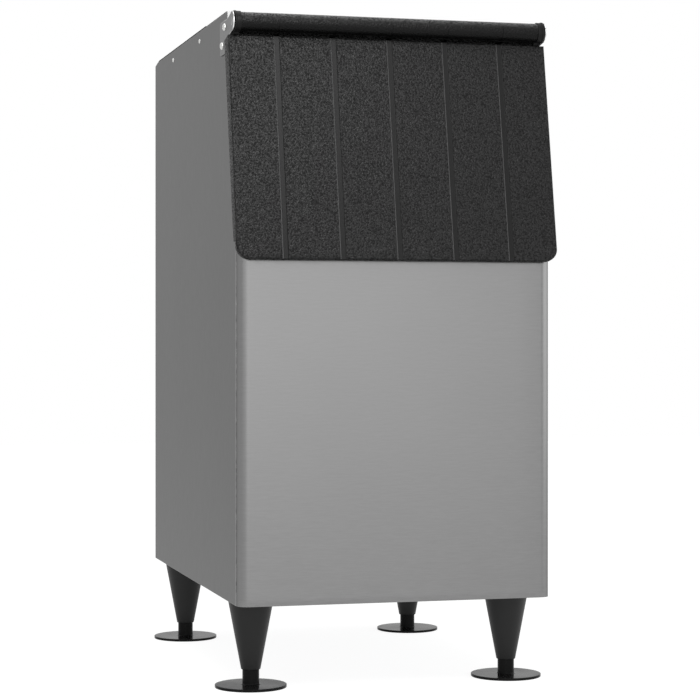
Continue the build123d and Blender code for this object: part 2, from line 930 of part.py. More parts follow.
def levelling_foot():
    """Round foot plate with its stem and the threaded rod that sets the height."""
    low = leg_height - leg_cone_height
    disc = disc_z(foot_disc_radius, 0, foot_disc, 0, 0)
    stem = disc_z(foot_stem_radius, foot_disc, low + foot_stem_reach, 0, 0)
    rod = disc_z(foot_rod_radius, low + foot_stem_reach, low + foot_stem_reach + foot_rod_length, 0, 0)
    foot = disc + stem + rod
    joint = [
        edge for edge in foot.edges().filter_by(GeomType.CIRCLE)
        if abs(edge.center().Z - foot_disc) < thread_running and edge.radius < foot_disc_radius - sheet
    ]
    return fillet(joint, foot_fillet)


def leg_studs():
    """One threaded stud in the top of each leg, through the base pan into its nut."""
    return Compound([
        disc_z(stud_radius, leg_height - stud_sunk, leg_height - stud_sunk + stud_length, x, y)
        for x, y in leg_places().values()
    ])


def leg_plates():
    """Stiffening plates with welded nuts above the base pan, one for each leg."""
    floor = body_bottom + base_sheet
    solids = []
    for x, y in leg_places().values():
        plate = Pos(x, y, floor + leg_plate / 2) * Box(leg_plate_size, leg_plate_size, leg_plate)
        nut = extrude(Pos(x, y, floor + leg_plate) * RegularPolygon(stud_nut_radius, 6), amount=stud_nut)
        solids.append(plate + nut - disc_z(stud_radius, 0, body_top, x, y))
    return Compound(solids)


def build():
    """Make every piece of the bin, by node name."""
    nodes = {"front_panel": front_panel(), "rear_panel": rear_panel(), "base_pan": base_pan()}
    for side, label in ((-1, "left"), (1, "right")):
        nodes[f"{label}_side_panel"] = side_panel(side)
        nodes[f"{label}_top_rail"] = top_rail(side)
        nodes[f"{label}_hinge_bracket"] = hinge_bracket(side)
        nodes[f"{label}_hinge_backing_plate"] = backing_plate(side)
        nodes[f"{label}_hinge_pin"] = hinge_pin(side)
        nodes[f"{label}_hinge_bush"] = hinge_bush(side)
        nodes[f"{label}_hinge_cheek"] = hinge_cheek(side)
    nodes["header_cap"] = header_cap()
    nodes["bin_liner"] = liner()
    nodes.update(throat_strips())
    nodes.update(top_tape())
    nodes["bracket_screws"] = bracket_screws()
    nodes["side_panel_screws"] = side_screws()
    nodes["rear_panel_screws"] = rear_screws()
    nodes["drain_fitting"] = drain_fitting()
    washer_y = body_depth
    nodes["drain_washer"] = drain_ring(drain_washer_radius, washer_y, drain_washer)
    nodes["drain_nut"] = drain_ring(drain_nut_radius, washer_y + drain_washer, drain_nut_thickness, sides=6)
    nodes["leg_studs"] = leg_studs()
    nodes["leg_plates"] = leg_plates()
    neighbours = [
        nodes[name] for name in (
            "front_panel", "rear_panel", "base_pan", "left_side_panel", "right_side_panel",
            "left_top_rail", "right_top_rail", "left_hinge_backing_plate", "right_hinge_backing_plate",
            "header_cap", "bin_liner", "bracket_screws", "side_panel_screws", "rear_panel_screws",
            "drain_fitting", "leg_studs", "leg_plates",
        )
    ]
    nodes["insulation"] = insulation(neighbours)
    nodes["door_outer_shell"] = door_shell()
    nodes["door_inner_shell"] = door_inner_shell()
    nodes["door_insulation"] = door_foam()
    nodes["door_seal"] = door_seal()
    nodes["door_screws"] = door_screws()
    for name, (x, y) in leg_places().items():
        nodes[f"leg_{name}"] = Pos(x, y, 0) * leg_cone()
        nodes[f"foot_{name}"] = Pos(x, y, 0) * levelling_foot()
    return nodes


for node_name, node_shape in build().items():
    export_node(node_name, node_shape)
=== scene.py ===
import json
import logging
from dataclasses import dataclass
from enum import Enum
from functools import cache
from math import atan2, cos, degrees, hypot, pi, radians, sin

import bpy
import numpy as np
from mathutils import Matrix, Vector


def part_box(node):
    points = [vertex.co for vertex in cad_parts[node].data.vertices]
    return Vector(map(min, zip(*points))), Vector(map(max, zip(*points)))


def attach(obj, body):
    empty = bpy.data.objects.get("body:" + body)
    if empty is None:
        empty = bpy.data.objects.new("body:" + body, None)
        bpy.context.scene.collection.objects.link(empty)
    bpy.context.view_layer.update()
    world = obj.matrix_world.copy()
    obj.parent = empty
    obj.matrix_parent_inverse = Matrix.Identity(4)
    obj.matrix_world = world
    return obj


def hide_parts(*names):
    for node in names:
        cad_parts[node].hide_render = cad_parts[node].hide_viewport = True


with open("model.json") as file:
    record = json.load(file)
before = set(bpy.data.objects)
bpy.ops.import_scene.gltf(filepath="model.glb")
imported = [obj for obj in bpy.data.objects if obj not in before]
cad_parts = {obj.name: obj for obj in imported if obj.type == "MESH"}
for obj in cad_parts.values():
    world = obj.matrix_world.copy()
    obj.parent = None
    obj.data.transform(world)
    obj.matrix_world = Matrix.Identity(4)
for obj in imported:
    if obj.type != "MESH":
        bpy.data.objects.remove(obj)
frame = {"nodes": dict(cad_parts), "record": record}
log = logging.getLogger("ice_storage_bin")

Point = tuple[float, float]
Place = tuple[float, float, float]
Mesh = bpy.types.Mesh
Piece = bpy.types.Object

MM = 0.001
X, Y, Z = range(3)
FRONT_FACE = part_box("front_panel")[0].y / MM
ORIGIN = np.array([0.0, FRONT_FACE, 0.0])


def drawn_box(node: str) -> np.ndarray:
    """Lowest and highest corner of a CAD node in millimetres, with Y counted from the front panel."""
    return np.array(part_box(node)) / MM - ORIGIN


def from_mm(points: np.ndarray) -> np.ndarray:
    """Points in millimetres, Y counted from the front panel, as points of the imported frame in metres."""
    return (np.asarray(points, float) + ORIGIN) * MM


SIDE_BOX = drawn_box("right_side_panel")
SHELL_BOX = drawn_box("door_outer_shell")
CHEEK_BOX = drawn_box("right_hinge_cheek")
PIN_BOX = drawn_box("right_hinge_pin")
LEG_BOX = drawn_box("leg_front_right")
REAR_LEG_BOX = drawn_box("leg_rear_right")
FOOT_BOX = drawn_box("foot_front_right")


# Meshes

SHARP_ANGLE = 35
WEAR_FROM, WEAR_OVER = 15, 25
EDGE_RINGS = 4
FLAT_BORDER = 2.5


def mesh_object(name: str, vertices: np.ndarray, faces: list[np.ndarray]) -> Piece:
    """Put vertices and groups of faces into a new object, joining vertices that share a place.

    Vertices closer than a micrometre become one, so patches that touch are joined and a row of
    points at a pole closes into a fan. A four-sided face that loses a corner becomes a triangle.

    Args:
        name: Name of the object and its mesh.
        vertices: Places in metres, one row each.
        faces: Arrays of vertex numbers, one face per row, each array with one number of sides.

    Returns:
        The new object, linked to the scene, with edges sharper than 35 degrees kept sharp.
    """
    _, first, joined = np.unique(np.round(vertices * 1e6).astype(np.int64), axis=0,
                                 return_index=True, return_inverse=True)
    joined = joined.ravel()
    kept = []
    for group in (joined[g] for g in faces):
        if group.shape[1] != 4:
            kept += [polygon[polygon != np.roll(polygon, 1)][None, :] for polygon in group]
            continue
        same = group == np.roll(group, -1, axis=1)
        kept.append(group[~same.any(axis=1)])
        for corner in range(4):
            short = group[same[:, corner] & (same.sum(axis=1) == 1)]
            kept.append(np.delete(short, corner, axis=1))
    kept = [group for group in kept if len(group)]
    corners = np.concatenate([group.ravel() for group in kept])
    counts = np.concatenate([np.full(len(group), group.shape[1]) for group in kept])
    used, corners = np.unique(corners, return_inverse=True)
    mesh = bpy.data.meshes.new(name)
    mesh.vertices.add(len(used))
    mesh.vertices.foreach_set("co", vertices[first[used]].astype(np.float32).ravel())
    mesh.loops.add(len(corners))
    mesh.loops.foreach_set("vertex_index", corners.ravel().astype(np.int32))
    mesh.polygons.add(len(counts))
    mesh.polygons.foreach_set("loop_start", (np.cumsum(counts) - counts).astype(np.int32))
    mesh.update(calc_edges=True)
    mesh.validate()
    mesh.shade_smooth()
    mesh.set_sharp_from_angle(angle=radians(SHARP_ANGLE))
    made = bpy.data.objects.new(name, mesh)
    bpy.context.scene.collection.objects.link(made)
    return made


def mark(mesh: Mesh, name: str, values: np.ndarray) -> None:
    """Write one number for each point of a mesh as an attribute that materials can read."""
    mesh.attributes.new(name, "FLOAT", "POINT").data.foreach_set("value", values.astype(np.float32))


def read(items: bpy.types.bpy_prop_collection, name: str, width: int = 1,
         kind: type = np.float32) -> np.ndarray:
    """One property of every item of a mesh.

    Args:
        items: Vertices, edges, loops, faces or values of an attribute.
        name: Blender's name of the property.
        width: How many numbers each item has.
        kind: Type of the numbers.

    Returns:
        The property as an array, with a row for each item where it has more numbers than one.
    """
    values = np.empty(len(items) * width, kind)
    items.foreach_get(name, values)
    return values.reshape(-1, width) if width > 1 else values


def mark_wear(mesh: Mesh) -> None:
    """Mark the places that hands and cleaning reach first, as the attribute wear, from 0 to 1.

    An edge between two faces turns by the angle between their normals, counted only where the second
    face's middle lies behind the first face. A point's wear is the sum of its edges' turns less 15
    degrees, divided by 25 degrees.

    Args:
        mesh: The mesh to mark.
    """
    edge_of = read(mesh.loops, "edge_index", 1, np.int32)
    sides = read(mesh.polygons, "loop_total", 1, np.int32)
    normal, middle = read(mesh.polygons, "normal", 3), read(mesh.polygons, "center", 3)
    face_of = np.repeat(np.arange(len(sides)), sides)[np.argsort(edge_of, kind="stable")]
    shared = np.bincount(edge_of, minlength=len(mesh.edges))
    first = (np.cumsum(shared) - shared)[shared == 2]
    one, other = face_of[first], face_of[first + 1]
    convex = ((middle[other] - middle[one]) * normal[one]).sum(axis=1) < 0
    turn = np.degrees(np.arccos(np.clip((normal[one] * normal[other]).sum(axis=1), -1, 1))) * convex
    ends = read(mesh.edges, "vertices", 2, np.int32)[shared == 2]
    total = np.bincount(ends.ravel(), np.repeat(turn, 2), len(mesh.vertices))
    mark(mesh, "wear", np.clip((total - WEAR_FROM) / WEAR_OVER, 0, 1))


@dataclass(frozen=True)
class Axes:
    """A place and two directions that a shape is drawn in; the third, out, is their cross product."""

    origin: Place
    along: Place
    up: Place

    def place(self, along: np.ndarray, up: np.ndarray, out: np.ndarray) -> np.ndarray:
        """Drawing points at origin plus along, up and out times the three directions."""
        directions = np.array([self.along, self.up, np.cross(self.along, self.up)], float)
        return np.stack(np.broadcast_arrays(along, up, out), axis=-1) @ directions + np.array(self.origin)


SEEN_FROM_RIGHT = Axes((0, 0, 0), (0, 1, 0), (0, 0, 1))
SEEN_FROM_ABOVE = Axes((0, 0, 0), (1, 0, 0), (0, 1, 0))


class Side(Enum):
    """Left and right of the bin as seen from the front, with the sign of X there."""

    LEFT = -1
    RIGHT = 1

    @property
    def label(self) -> str:
        """The side's word in names of nodes and pieces."""
        return self.name.lower()

    def span(self, one: float, other: float) -> list[float]:
        """Lower and higher X of two distances from the middle."""
        return sorted((one * self.value, other * self.value))

    def axes(self, reach: float, y: float, z: float) -> Axes:
        """Axes at a distance from the middle, whose third direction points out of this side."""
        return Axes((reach * self.value, y, z), (0, self.value, 0), (0, 0, 1))


def inset(outline: np.ndarray, amount: float) -> np.ndarray:
    """Move a closed counterclockwise outline inwards by mitred corners.

    Each corner moves against the sum of its two edge normals, divided by one plus their product.

    Args:
        outline: Corners in order, one row each.
        amount: Distance between each old edge and its new one.

    Returns:
        The moved corners.
    """
    edge = np.roll(outline, -1, axis=0) - outline
    normal = np.stack([edge[:, 1], -edge[:, 0]], axis=1) / np.hypot(*edge.T)[:, None]
    before = np.roll(normal, 1, axis=0)
    share = 1 + (normal * before).sum(axis=1)
    return outline - amount * (normal + before) / share[:, None]


def arc(centre: Point, radius: float, start: float, end: float, steps: int) -> np.ndarray:
    """Points on a circle from one angle to another, in degrees, both ends included."""
    angle = np.radians(np.linspace(start, end, steps + 1))
    return np.stack([centre[0] + radius * np.cos(angle), centre[1] + radius * np.sin(angle)], axis=1)


def rounded_corners(corners: list[Point], radii: list[float], steps: int) -> np.ndarray:
    """Replace each corner of a closed outline by the arc that touches both of its edges.

    The arc starts at the radius divided by the tangent of half the corner's angle from the corner. Its
    points turn evenly from the first touching point to the last, about the arc's centre.

    Args:
        corners: Corners in order.
        radii: Radius at each corner, zero to keep it sharp.
        steps: Faces along each arc.

    Returns:
        The outline with its arcs.
    """
    made = []
    points = np.array(corners, float)
    turn = np.linspace(0, 1, steps + 1)[:, None]
    for index, radius in enumerate(radii):
        here = points[index]
        if not radius:
            made.append(here[None, :])
            continue
        back = points[index - 1] - here
        ahead = points[(index + 1) % len(points)] - here
        back, ahead = back / np.hypot(*back), ahead / np.hypot(*ahead)
        half = np.arccos(np.clip(back @ ahead, -1, 1)) / 2
        bisector = (back + ahead) / np.hypot(*(back + ahead))
        centre = here + bisector * radius / np.sin(half)
        first = here + back * radius / np.tan(half) - centre
        last = here + ahead * radius / np.tan(half) - centre
        angle = np.arccos(np.clip(first @ last / radius ** 2, -1, 1))
        blend = np.sin((1 - turn) * angle) * first + np.sin(turn * angle) * last
        made.append(centre + blend / np.sin(angle))
    return np.concatenate(made)


def rectangle(low: Point, high: Point) -> np.ndarray:
    """Four corners between two opposite ones, counterclockwise."""
    return np.array([(low[0], low[1]), (high[0], low[1]), (high[0], high[1]), (low[0], high[1])], float)


class Builder:
    """Collects grids and flat caps of one piece and turns them into one object."""

    def __init__(self) -> None:
        """Start with nothing in it."""
        self.points: list[np.ndarray] = []
        self.faces: list[np.ndarray] = []
        self.count = 0

    def _add(self, points: np.ndarray, faces: np.ndarray) -> "Builder":
        """Keep one group of points and faces.

        Args:
            points: One point in each row.
            faces: Numbers of these points, one face in each row.

        Returns:
            The builder itself.
        """
        self.points.append(points)
        self.faces.append(faces + self.count)
        self.count += len(points)
        return self

    def grid(self, points: np.ndarray, around: bool = False) -> "Builder":
        """Add a grid of points as four-sided faces.

        The face normal is the direction along the columns crossed with the direction along the rows.

        Args:
            points: Array of rows by columns by three, in drawing millimetres.
            around: Whether the last column joins the first one.

        Returns:
            The builder itself.
        """
        rows, columns = points.shape[:2]
        number = np.arange(rows * columns).reshape(rows, columns)
        if around:
            number = np.concatenate([number, number[:, :1]], axis=1)
        quads = np.stack([number[:-1, :-1], number[:-1, 1:], number[1:, 1:], number[1:, :-1]], axis=-1)
        return self._add(points.reshape(-1, 3), quads.reshape(-1, 4))

    def ends(self, first: np.ndarray, last: np.ndarray | None = None) -> "Builder":
        """Close the first ring of a grid with one flat face, and the last one where it is given.

        Args:
            first: The grid's first ring.
            last: Its last ring.

        Returns:
            The builder itself.
        """
        order = np.arange(len(first))[None, :]
        self._add(first, order[:, ::-1])
        return self if last is None else self._add(last, order)

    def slab(self, axes: Axes, outline: np.ndarray, low: float, high: float, edge: float) -> "Builder":
        """Add a flat plate whose edges are rounded.

        Rings run from the low face to the high one. Over each edge the ring is moved inwards by the
        radius times one minus the sine, and stands in from the face by the radius times one minus the
        cosine.

        Args:
            axes: Directions of the outline; the plate's thickness runs along the third.
            outline: Counterclockwise outline in the first two directions.
            low: Place of one face along the third direction.
            high: Place of the other face.
            edge: Radius of the rounded edges.

        Returns:
            The builder itself.
        """
        turn = np.radians(np.linspace(0, 90, EDGE_RINGS))
        shift = np.concatenate([[FLAT_BORDER * edge], edge * (1 - np.sin(turn))])
        rise = np.concatenate([[0.0], edge * (1 - np.cos(turn))])
        rings = [(s, low + r) for s, r in zip(shift, rise)]
        rings += [(s, high - r) for s, r in zip(shift[::-1], rise[::-1])]
        grid = np.stack([axes.place(*inset(outline, s).T, np.array(place)) for s, place in rings])
        return self.grid(grid, around=True).ends(grid[0], grid[-1])

    def lathe(self, axes: Axes, profile: np.ndarray, segments: int) -> "Builder":
        """Add a turned shape: each profile point's radius is carried round the third direction.

        Args:
            axes: Centre line's foot and directions; the shape stands along the third.
            profile: Radius and height of each point, going up along the outside.
            segments: Faces round the shape.

        Returns:
            The builder itself.
        """
        angle = np.linspace(0, 2 * pi, segments, endpoint=False)
        radius, height = profile[:, 0][:, None], profile[:, 1][:, None]
        return self.grid(axes.place(radius * np.cos(angle), radius * np.sin(angle), height), around=True)

    def finish(self, name: str) -> Piece:
        """Make the object from everything that was added."""
        return mesh_object(name, from_mm(np.concatenate(self.points)), self.faces)


# Materials

Tree = bpy.types.NodeTree
Node = bpy.types.Node
Socket = bpy.types.NodeSocket

NOISE_RANGE = (0.3, 0.7)
WHOLE_RANGE = (0.0, 1.0)
WEAR_PATCH = 14.0
WEAR_NOISE = (0.35, 0.65)
WEAR_SHARES = (0.15, 1.0)


class Slot(Enum):
    """The record's material slots."""

    STAINLESS = "stainless"
    GALVANISED = "galvanised"
    PLATED = "zinc_steel"
    DOOR = "door_black"
    HINGE = "hinge_black"
    INNER = "inner_grey"
    LINER = "liner_white"
    STRIP = "frame_grey"
    FOAM = "foam"
    TAPE = "tape_black"
    SEAL = "seal_black"
    BUSH = "bush_white"
    LEG = "leg_black"
    FOOT = "foot_black"
    DRAIN = "drain_white"


class Grain(Enum):
    """Direction of a brushed surface's lines, as how far they run along X, Y and Z."""

    LEVEL = (True, True, False)
    UPRIGHT = (False, False, True)


def linear(colour: str) -> tuple[float, float, float, float]:
    """An sRGB hex colour as linear red, green, blue and one."""
    share = [int(colour[i:i + 2], 16) / 255 for i in (1, 3, 5)]
    return (*(s / 12.92 if s <= 0.04045 else ((s + 0.055) / 1.055) ** 2.4 for s in share), 1.0)


def add_node(tree: Tree, kind: str, inputs: dict | None = None, **options) -> Node:
    """Add a node with its options and inputs.

    Args:
        tree: Node tree that takes it.
        kind: Blender's name of the node's class.
        inputs: Fixed value or linked socket for each input, by the input's name or number.
        **options: Options of the node itself.

    Returns:
        The new node.
    """
    made = tree.nodes.new(kind)
    for option, value in options.items():
        setattr(made, option, value)
    for place, value in (inputs or {}).items():
        if isinstance(value, Socket):
            tree.links.new(value, made.inputs[place])
        else:
            made.inputs[place].default_value = value
    return made


def calculate(tree: Tree, operation: str, *inputs: Socket | float, **options) -> Socket:
    """Result of one operation on sockets and numbers, given in the order of the node's inputs."""
    node = add_node(tree, "ShaderNodeMath", dict(enumerate(inputs)), operation=operation, **options)
    return node.outputs[0]


def attribute(tree: Tree, name: str) -> Socket:
    """Value of one of the piece's own attributes."""
    return add_node(tree, "ShaderNodeAttribute", attribute_name=name).outputs["Fac"]


@dataclass(frozen=True)
class Finish:
    """What every finish has: a name, a colour, a roughness, and how uneven and how worn it is.

    Its pattern moves the roughness down by the first and up by the second number of uneven. A fully
    worn place is lighter by the finish's share of wear and painted highlight, and its roughness is lower by
    smoother; where that share is large, the lightening is mostly a painted edge highlight.
    """

    name: str
    colour: str
    roughness: float
    uneven: Point = (0.04, 0.04)
    wear_and_highlight: float = 0.1
    smoother: float = 0.08

    def start(self, **shader_values) -> tuple[bpy.types.Material, Tree, Node]:
        """Make the material with its shader and output.

        Args:
            **shader_values: Fixed shader inputs, with underscores for spaces.

        Returns:
            The material, its node tree and the shader.
        """
        material = bpy.data.materials.new(self.name)
        material.use_nodes = True
        material.diffuse_color = linear(self.colour)
        material.roughness = self.roughness
        tree = material.node_tree
        tree.nodes.clear()
        values = {key.replace("_", " "): value for key, value in shader_values.items()}
        shader = add_node(tree, "ShaderNodeBsdfPrincipled", values)
        add_node(tree, "ShaderNodeOutputMaterial", {"Surface": shader.outputs["BSDF"]})
        return material, tree, shader

    def pattern(self, tree: Tree, size: float | Place, kind: str, values: dict | None = None,
                **options) -> Node:
        """Add a pattern on object coordinates whose features have a real size.

        Args:
            tree: Node tree that takes it.
            size: Millimetres of one feature, alike in all directions or along X, Y and Z.
            kind: Blender's name of the texture node.
            values: Fixed inputs of the texture.
            **options: Options of the texture.

        Returns:
            The texture node.
        """
        place = add_node(tree, "ShaderNodeTexCoord")
        scale = tuple(1 / (side * MM) for side in (size if isinstance(size, tuple) else (size,) * 3))
        scaled = add_node(tree, "ShaderNodeMapping", {"Vector": place.outputs["Object"], "Scale": scale})
        inputs = {"Vector": scaled.outputs["Vector"], "Scale": 1.0, **(values or {})}
        return add_node(tree, kind, inputs, **options)

    def noise(self, tree: Tree, size: float | Place, detail: float, rough: float = 0.5) -> Socket:
        """Value of a cloudy pattern, with its number of finer layers and how strong each of them is."""
        values = {"Detail": detail, "Roughness": rough}
        return self.pattern(tree, size, "ShaderNodeTexNoise", values).outputs["Fac"]

    def spread(self, tree: Tree, source: Socket, low: float, high: float,
               inner: Point = NOISE_RANGE) -> Socket:
        """A pattern's value carried from its usual range to another one."""
        return add_node(tree, "ShaderNodeMapRange", dict(enumerate((source, *inner, low, high)))).outputs[0]

    def tinted(self, tree: Tree, pattern: Socket, tint: float) -> Socket:
        """A tone that a pattern moves from one less the tint to one more."""
        return self.spread(tree, pattern, 1 - tint, 1 + tint)

    def uneven_roughness(self, tree: Tree, pattern: Socket, inner: Point = NOISE_RANGE) -> Socket:
        """The finish's roughness, made uneven by a pattern."""
        low, high = self.uneven
        return self.spread(tree, pattern, self.roughness - low, self.roughness + high, inner)

    def scaled(self, tree: Tree, tone: Socket, colour: Socket | None = None) -> Socket:
        """The finish's own colour, or another one, times a tone."""
        inputs = {0: linear(self.colour)[:3] if colour is None else colour, "Scale": tone}
        return add_node(tree, "ShaderNodeVectorMath", inputs, operation="SCALE").outputs[0]

    def raise_surface(self, tree: Tree, shader: Node, height: Socket, strength: float, depth: float,
                      **options) -> None:
        """Let a pattern raise the surface, by a depth in millimetres."""
        bump = add_node(tree, "ShaderNodeBump", {"Height": height, "Strength": strength,
                                                 "Distance": depth * MM}, **options)
        tree.links.new(bump.outputs[0], shader.inputs["Normal"])

    def end(self, tree: Tree, shader: Node, colour: Socket, rough: Socket) -> None:
        """Rub the colour lighter and the surface smoother in patches along worn edges, then link both.

        The share that is worn is the attribute wear times a patchy noise 14 mm across. There the colour is
        lighter: wear, and on the stainless sheets with a large share mostly a painted edge highlight.

        Args:
            tree: Node tree of the material.
            shader: The shader that takes colour and roughness.
            colour: Colour of the unworn surface.
            rough: Roughness of the unworn surface.
        """
        patches = self.spread(tree, self.noise(tree, WEAR_PATCH, 3.0), *WEAR_SHARES, WEAR_NOISE)
        worn = calculate(tree, "MULTIPLY", attribute(tree, "wear"), patches)
        tone = self.spread(tree, worn, 1.0, 1 + self.wear_and_highlight, WHOLE_RANGE)
        tree.links.new(self.scaled(tree, tone, colour), shader.inputs["Base Color"])
        rough = calculate(tree, "MULTIPLY_ADD", worn, -self.smoother, rough)
        tree.links.new(rough, shader.inputs["Roughness"])


@dataclass(frozen=True)
class BrushedStainless(Finish):
    """Austenitic stainless sheet, belt brushed: a soft grey sheen drawn out along one direction."""

    grain: Grain = Grain.LEVEL
    line_width: float = 1.7
    line_length: float = 20.0
    line_relief: float = 0.12
    line_depth: float = 0.03
    tint: float = 0.045
    cloud: float = 160.0
    cloud_tint: float = 0.01
    wear_and_highlight: float = 0.14

    @cache
    def material(self) -> bpy.types.Material:
        """Fine lines change colour, roughness and relief a little; slow clouds are handling marks.

        The real lines are about 0.05 mm wide; they are drawn 1.7 mm wide so that they show.

        Returns:
            The material.
        """
        material, tree, shader = self.start(Metallic=1.0, Specular_Tint=linear("#BEBEBE"))
        size = tuple(self.line_length if runs else self.line_width for runs in self.grain.value)
        lines = self.noise(tree, size, 2.0, 0.6)
        clouds = self.noise(tree, self.cloud, 4.0)
        colour = self.scaled(tree, self.tinted(tree, lines, self.tint))
        colour = self.scaled(tree, self.tinted(tree, clouds, self.cloud_tint), colour)
        self.end(tree, shader, colour, self.uneven_roughness(tree, lines))
        self.raise_surface(tree, shader, lines, self.line_relief, self.line_depth)
        return material


@dataclass(frozen=True)
class GalvanisedSheet(Finish):
    """Hot-dip galvanised steel: dull zinc grey in crystals about 9 mm across."""

    spangle: float = 9.0
    tones: Point = (0.86, 1.1)
    uneven: Point = (0.07, 0.07)
    fine: float = 0.9
    fine_relief: float = 0.15
    fine_depth: float = 0.04

    @cache
    def material(self) -> bpy.types.Material:
        """Each crystal has its own brightness and roughness.

        Returns:
            The material.
        """
        material, tree, shader = self.start(Metallic=1.0)
        cells = self.pattern(tree, self.spangle, "ShaderNodeTexVoronoi", {"Randomness": 1.0})
        mono = add_node(tree, "ShaderNodeSeparateColor", {"Color": cells.outputs["Color"]})
        tone = self.spread(tree, mono.outputs["Red"], *self.tones, WHOLE_RANGE)
        rough = self.uneven_roughness(tree, mono.outputs["Green"], WHOLE_RANGE)
        self.end(tree, shader, self.scaled(tree, tone), rough)
        fine = self.noise(tree, self.fine, 2.0)
        self.raise_surface(tree, shader, fine, self.fine_relief, self.fine_depth)
        return material


@dataclass(frozen=True)
class PlatedSteel(Finish):
    """Bright zinc plating on screws and pins: light, slightly uneven metal."""

    mottle: float = 1.5
    tones: Point = (0.92, 1.05)
    uneven: Point = (0.05, 0.06)
    wear_and_highlight: float = 0.08
    smoother: float = 0.06

    @cache
    def material(self) -> bpy.types.Material:
        """A fine uneven tone and roughness.

        Returns:
            The material.
        """
        material, tree, shader = self.start(Metallic=1.0)
        mottle = self.noise(tree, self.mottle, 3.0)
        tone = self.spread(tree, mottle, *self.tones)
        self.end(tree, shader, self.scaled(tree, tone), self.uneven_roughness(tree, mottle))
        return material


@dataclass(frozen=True)
class PebbledAbs(Finish):
    """Black ABS moulded against an etched tool: rounded pebbles that break the light into speckle.

    A piece's attributes change it from point to point: where polish is 1, as in the grooves, it is
    smooth; where matt is 1, as on the walls, it is duller; the painted light, a painted highlight or painted
    shade, is added to 1 and scales the colour.
    """

    pebble: float = 3.0
    pebble_depth: float = 1.1
    speckle: Point = (0.0, 3.4)
    speckle_range: Point = (0.38, 0.66)
    sheen: Point = (0.6, 0.14)
    sheen_range: Point = (0.36, 0.66)
    wear_and_highlight: float = 0.15
    smoother: float = 0.06
    polished_colour: str = "#161616"
    polished_roughness: float = 0.26
    matt_roughness: float = 0.22
    gloss: float = 0.16

    @cache
    def material(self) -> bpy.types.Material:
        """Rounded pebbles, shiny on top and dull between, which fade where it is polished.

        Etched pebbles are 0.5 to 1 mm wide; they are drawn 3 mm wide, and as much deeper, so that
        they show.

        Returns:
            The material.
        """
        material, tree, shader = self.start(Specular_IOR_Level=self.gloss, IOR=1.5)
        polish = attribute(tree, "polish")
        pebbles = self.noise(tree, self.pebble, 1.5, 0.6)
        textured = calculate(tree, "SUBTRACT", 1.0, polish, use_clamp=True)
        raised = calculate(tree, "MULTIPLY", pebbles, textured)
        self.raise_surface(tree, shader, raised, 1.0, self.pebble_depth)
        tone = self.spread(tree, pebbles, *self.speckle, self.speckle_range)
        tones = {"Factor": polish, 6: self.scaled(tree, tone), 7: linear(self.polished_colour)}
        colour = add_node(tree, "ShaderNodeMix", tones, data_type="RGBA").outputs[2]
        dull = self.spread(tree, pebbles, *self.sheen, self.sheen_range)
        sheens = {"Factor": polish, 2: dull, 3: self.polished_roughness}
        rough = add_node(tree, "ShaderNodeMix", sheens, data_type="FLOAT").outputs[0]
        rough = calculate(tree, "MULTIPLY_ADD", attribute(tree, "matt"), self.matt_roughness, rough,
                          use_clamp=True)
        # Painted light: this attribute scales the colour up for painted highlights and down for painted shade
        shade = calculate(tree, "ADD", attribute(tree, "shade"), 1.0)
        self.end(tree, shader, self.scaled(tree, shade, colour), rough)
        return material


@dataclass(frozen=True)
class MouldedPolymer(Finish):
    """Injection or rotationally moulded plastic: even colour, faint stipple and slow flow marks."""

    uneven: Point = (0.04, 0.06)
    stipple: float = 0.6
    stipple_relief: float = 0.35
    stipple_depth: float = 0.02
    flow: float = 70.0
    tint: float = 0.05
    wear_and_highlight: float = 0.5
    gloss: float = 0.5

    @cache
    def material(self) -> bpy.types.Material:
        """Stipple gives the sheen its grain; flow marks change roughness and tone slowly.

        Returns:
            The material.
        """
        material, tree, shader = self.start(IOR=1.5, Specular_IOR_Level=self.gloss)
        marks = self.noise(tree, self.flow, 5.0, 0.55)
        colour = self.scaled(tree, self.tinted(tree, marks, self.tint))
        self.end(tree, shader, colour, self.uneven_roughness(tree, marks))
        stipple = self.noise(tree, self.stipple, 2.0)
        self.raise_surface(tree, shader, stipple, self.stipple_relief, self.stipple_depth)
        return material


@dataclass(frozen=True)
class CellularFoam(Finish):
    """Foamed polymer, as sealing tape or poured insulation: matt and full of fine pores."""

    pore: float = 0.9
    pore_relief: float = 0.5
    pore_depth: float = 0.15
    pore_range: Point = (0.1, 0.7)
    tones: Point = (1.12, 0.72)
    uneven: Point = (0.0, -0.1)
    wear_and_highlight: float = 0.25
    smoother: float = 0.05

    @cache
    def material(self) -> bpy.types.Material:
        """Pores are dark pits between rounded cell walls.

        Returns:
            The material.
        """
        material, tree, shader = self.start(IOR=1.45, Specular_IOR_Level=0.05)
        cells = self.pattern(tree, self.pore, "ShaderNodeTexVoronoi", feature="SMOOTH_F1").outputs["Distance"]
        tone = self.spread(tree, cells, *self.tones, self.pore_range)
        rough = self.uneven_roughness(tree, cells, self.pore_range)
        self.end(tree, shader, self.scaled(tree, tone), rough)
        self.raise_surface(tree, shader, cells, self.pore_relief, self.pore_depth, invert=True)
        return material


STAINLESS = BrushedStainless("brushed_stainless", "#7A7A7A", 0.34)
# The large edge lightening of the two finishes below is mostly a painted highlight along the rounded edges,
# besides real wear
STAINLESS_UPRIGHT = BrushedStainless("brushed_stainless_upright", "#7C7C7C", 0.34, grain=Grain.UPRIGHT,
                                     wear_and_highlight=1.5)
STAINLESS_BRIGHT = BrushedStainless("satin_stainless", "#949494", 0.3, grain=Grain.UPRIGHT, wear_and_highlight=3.0)

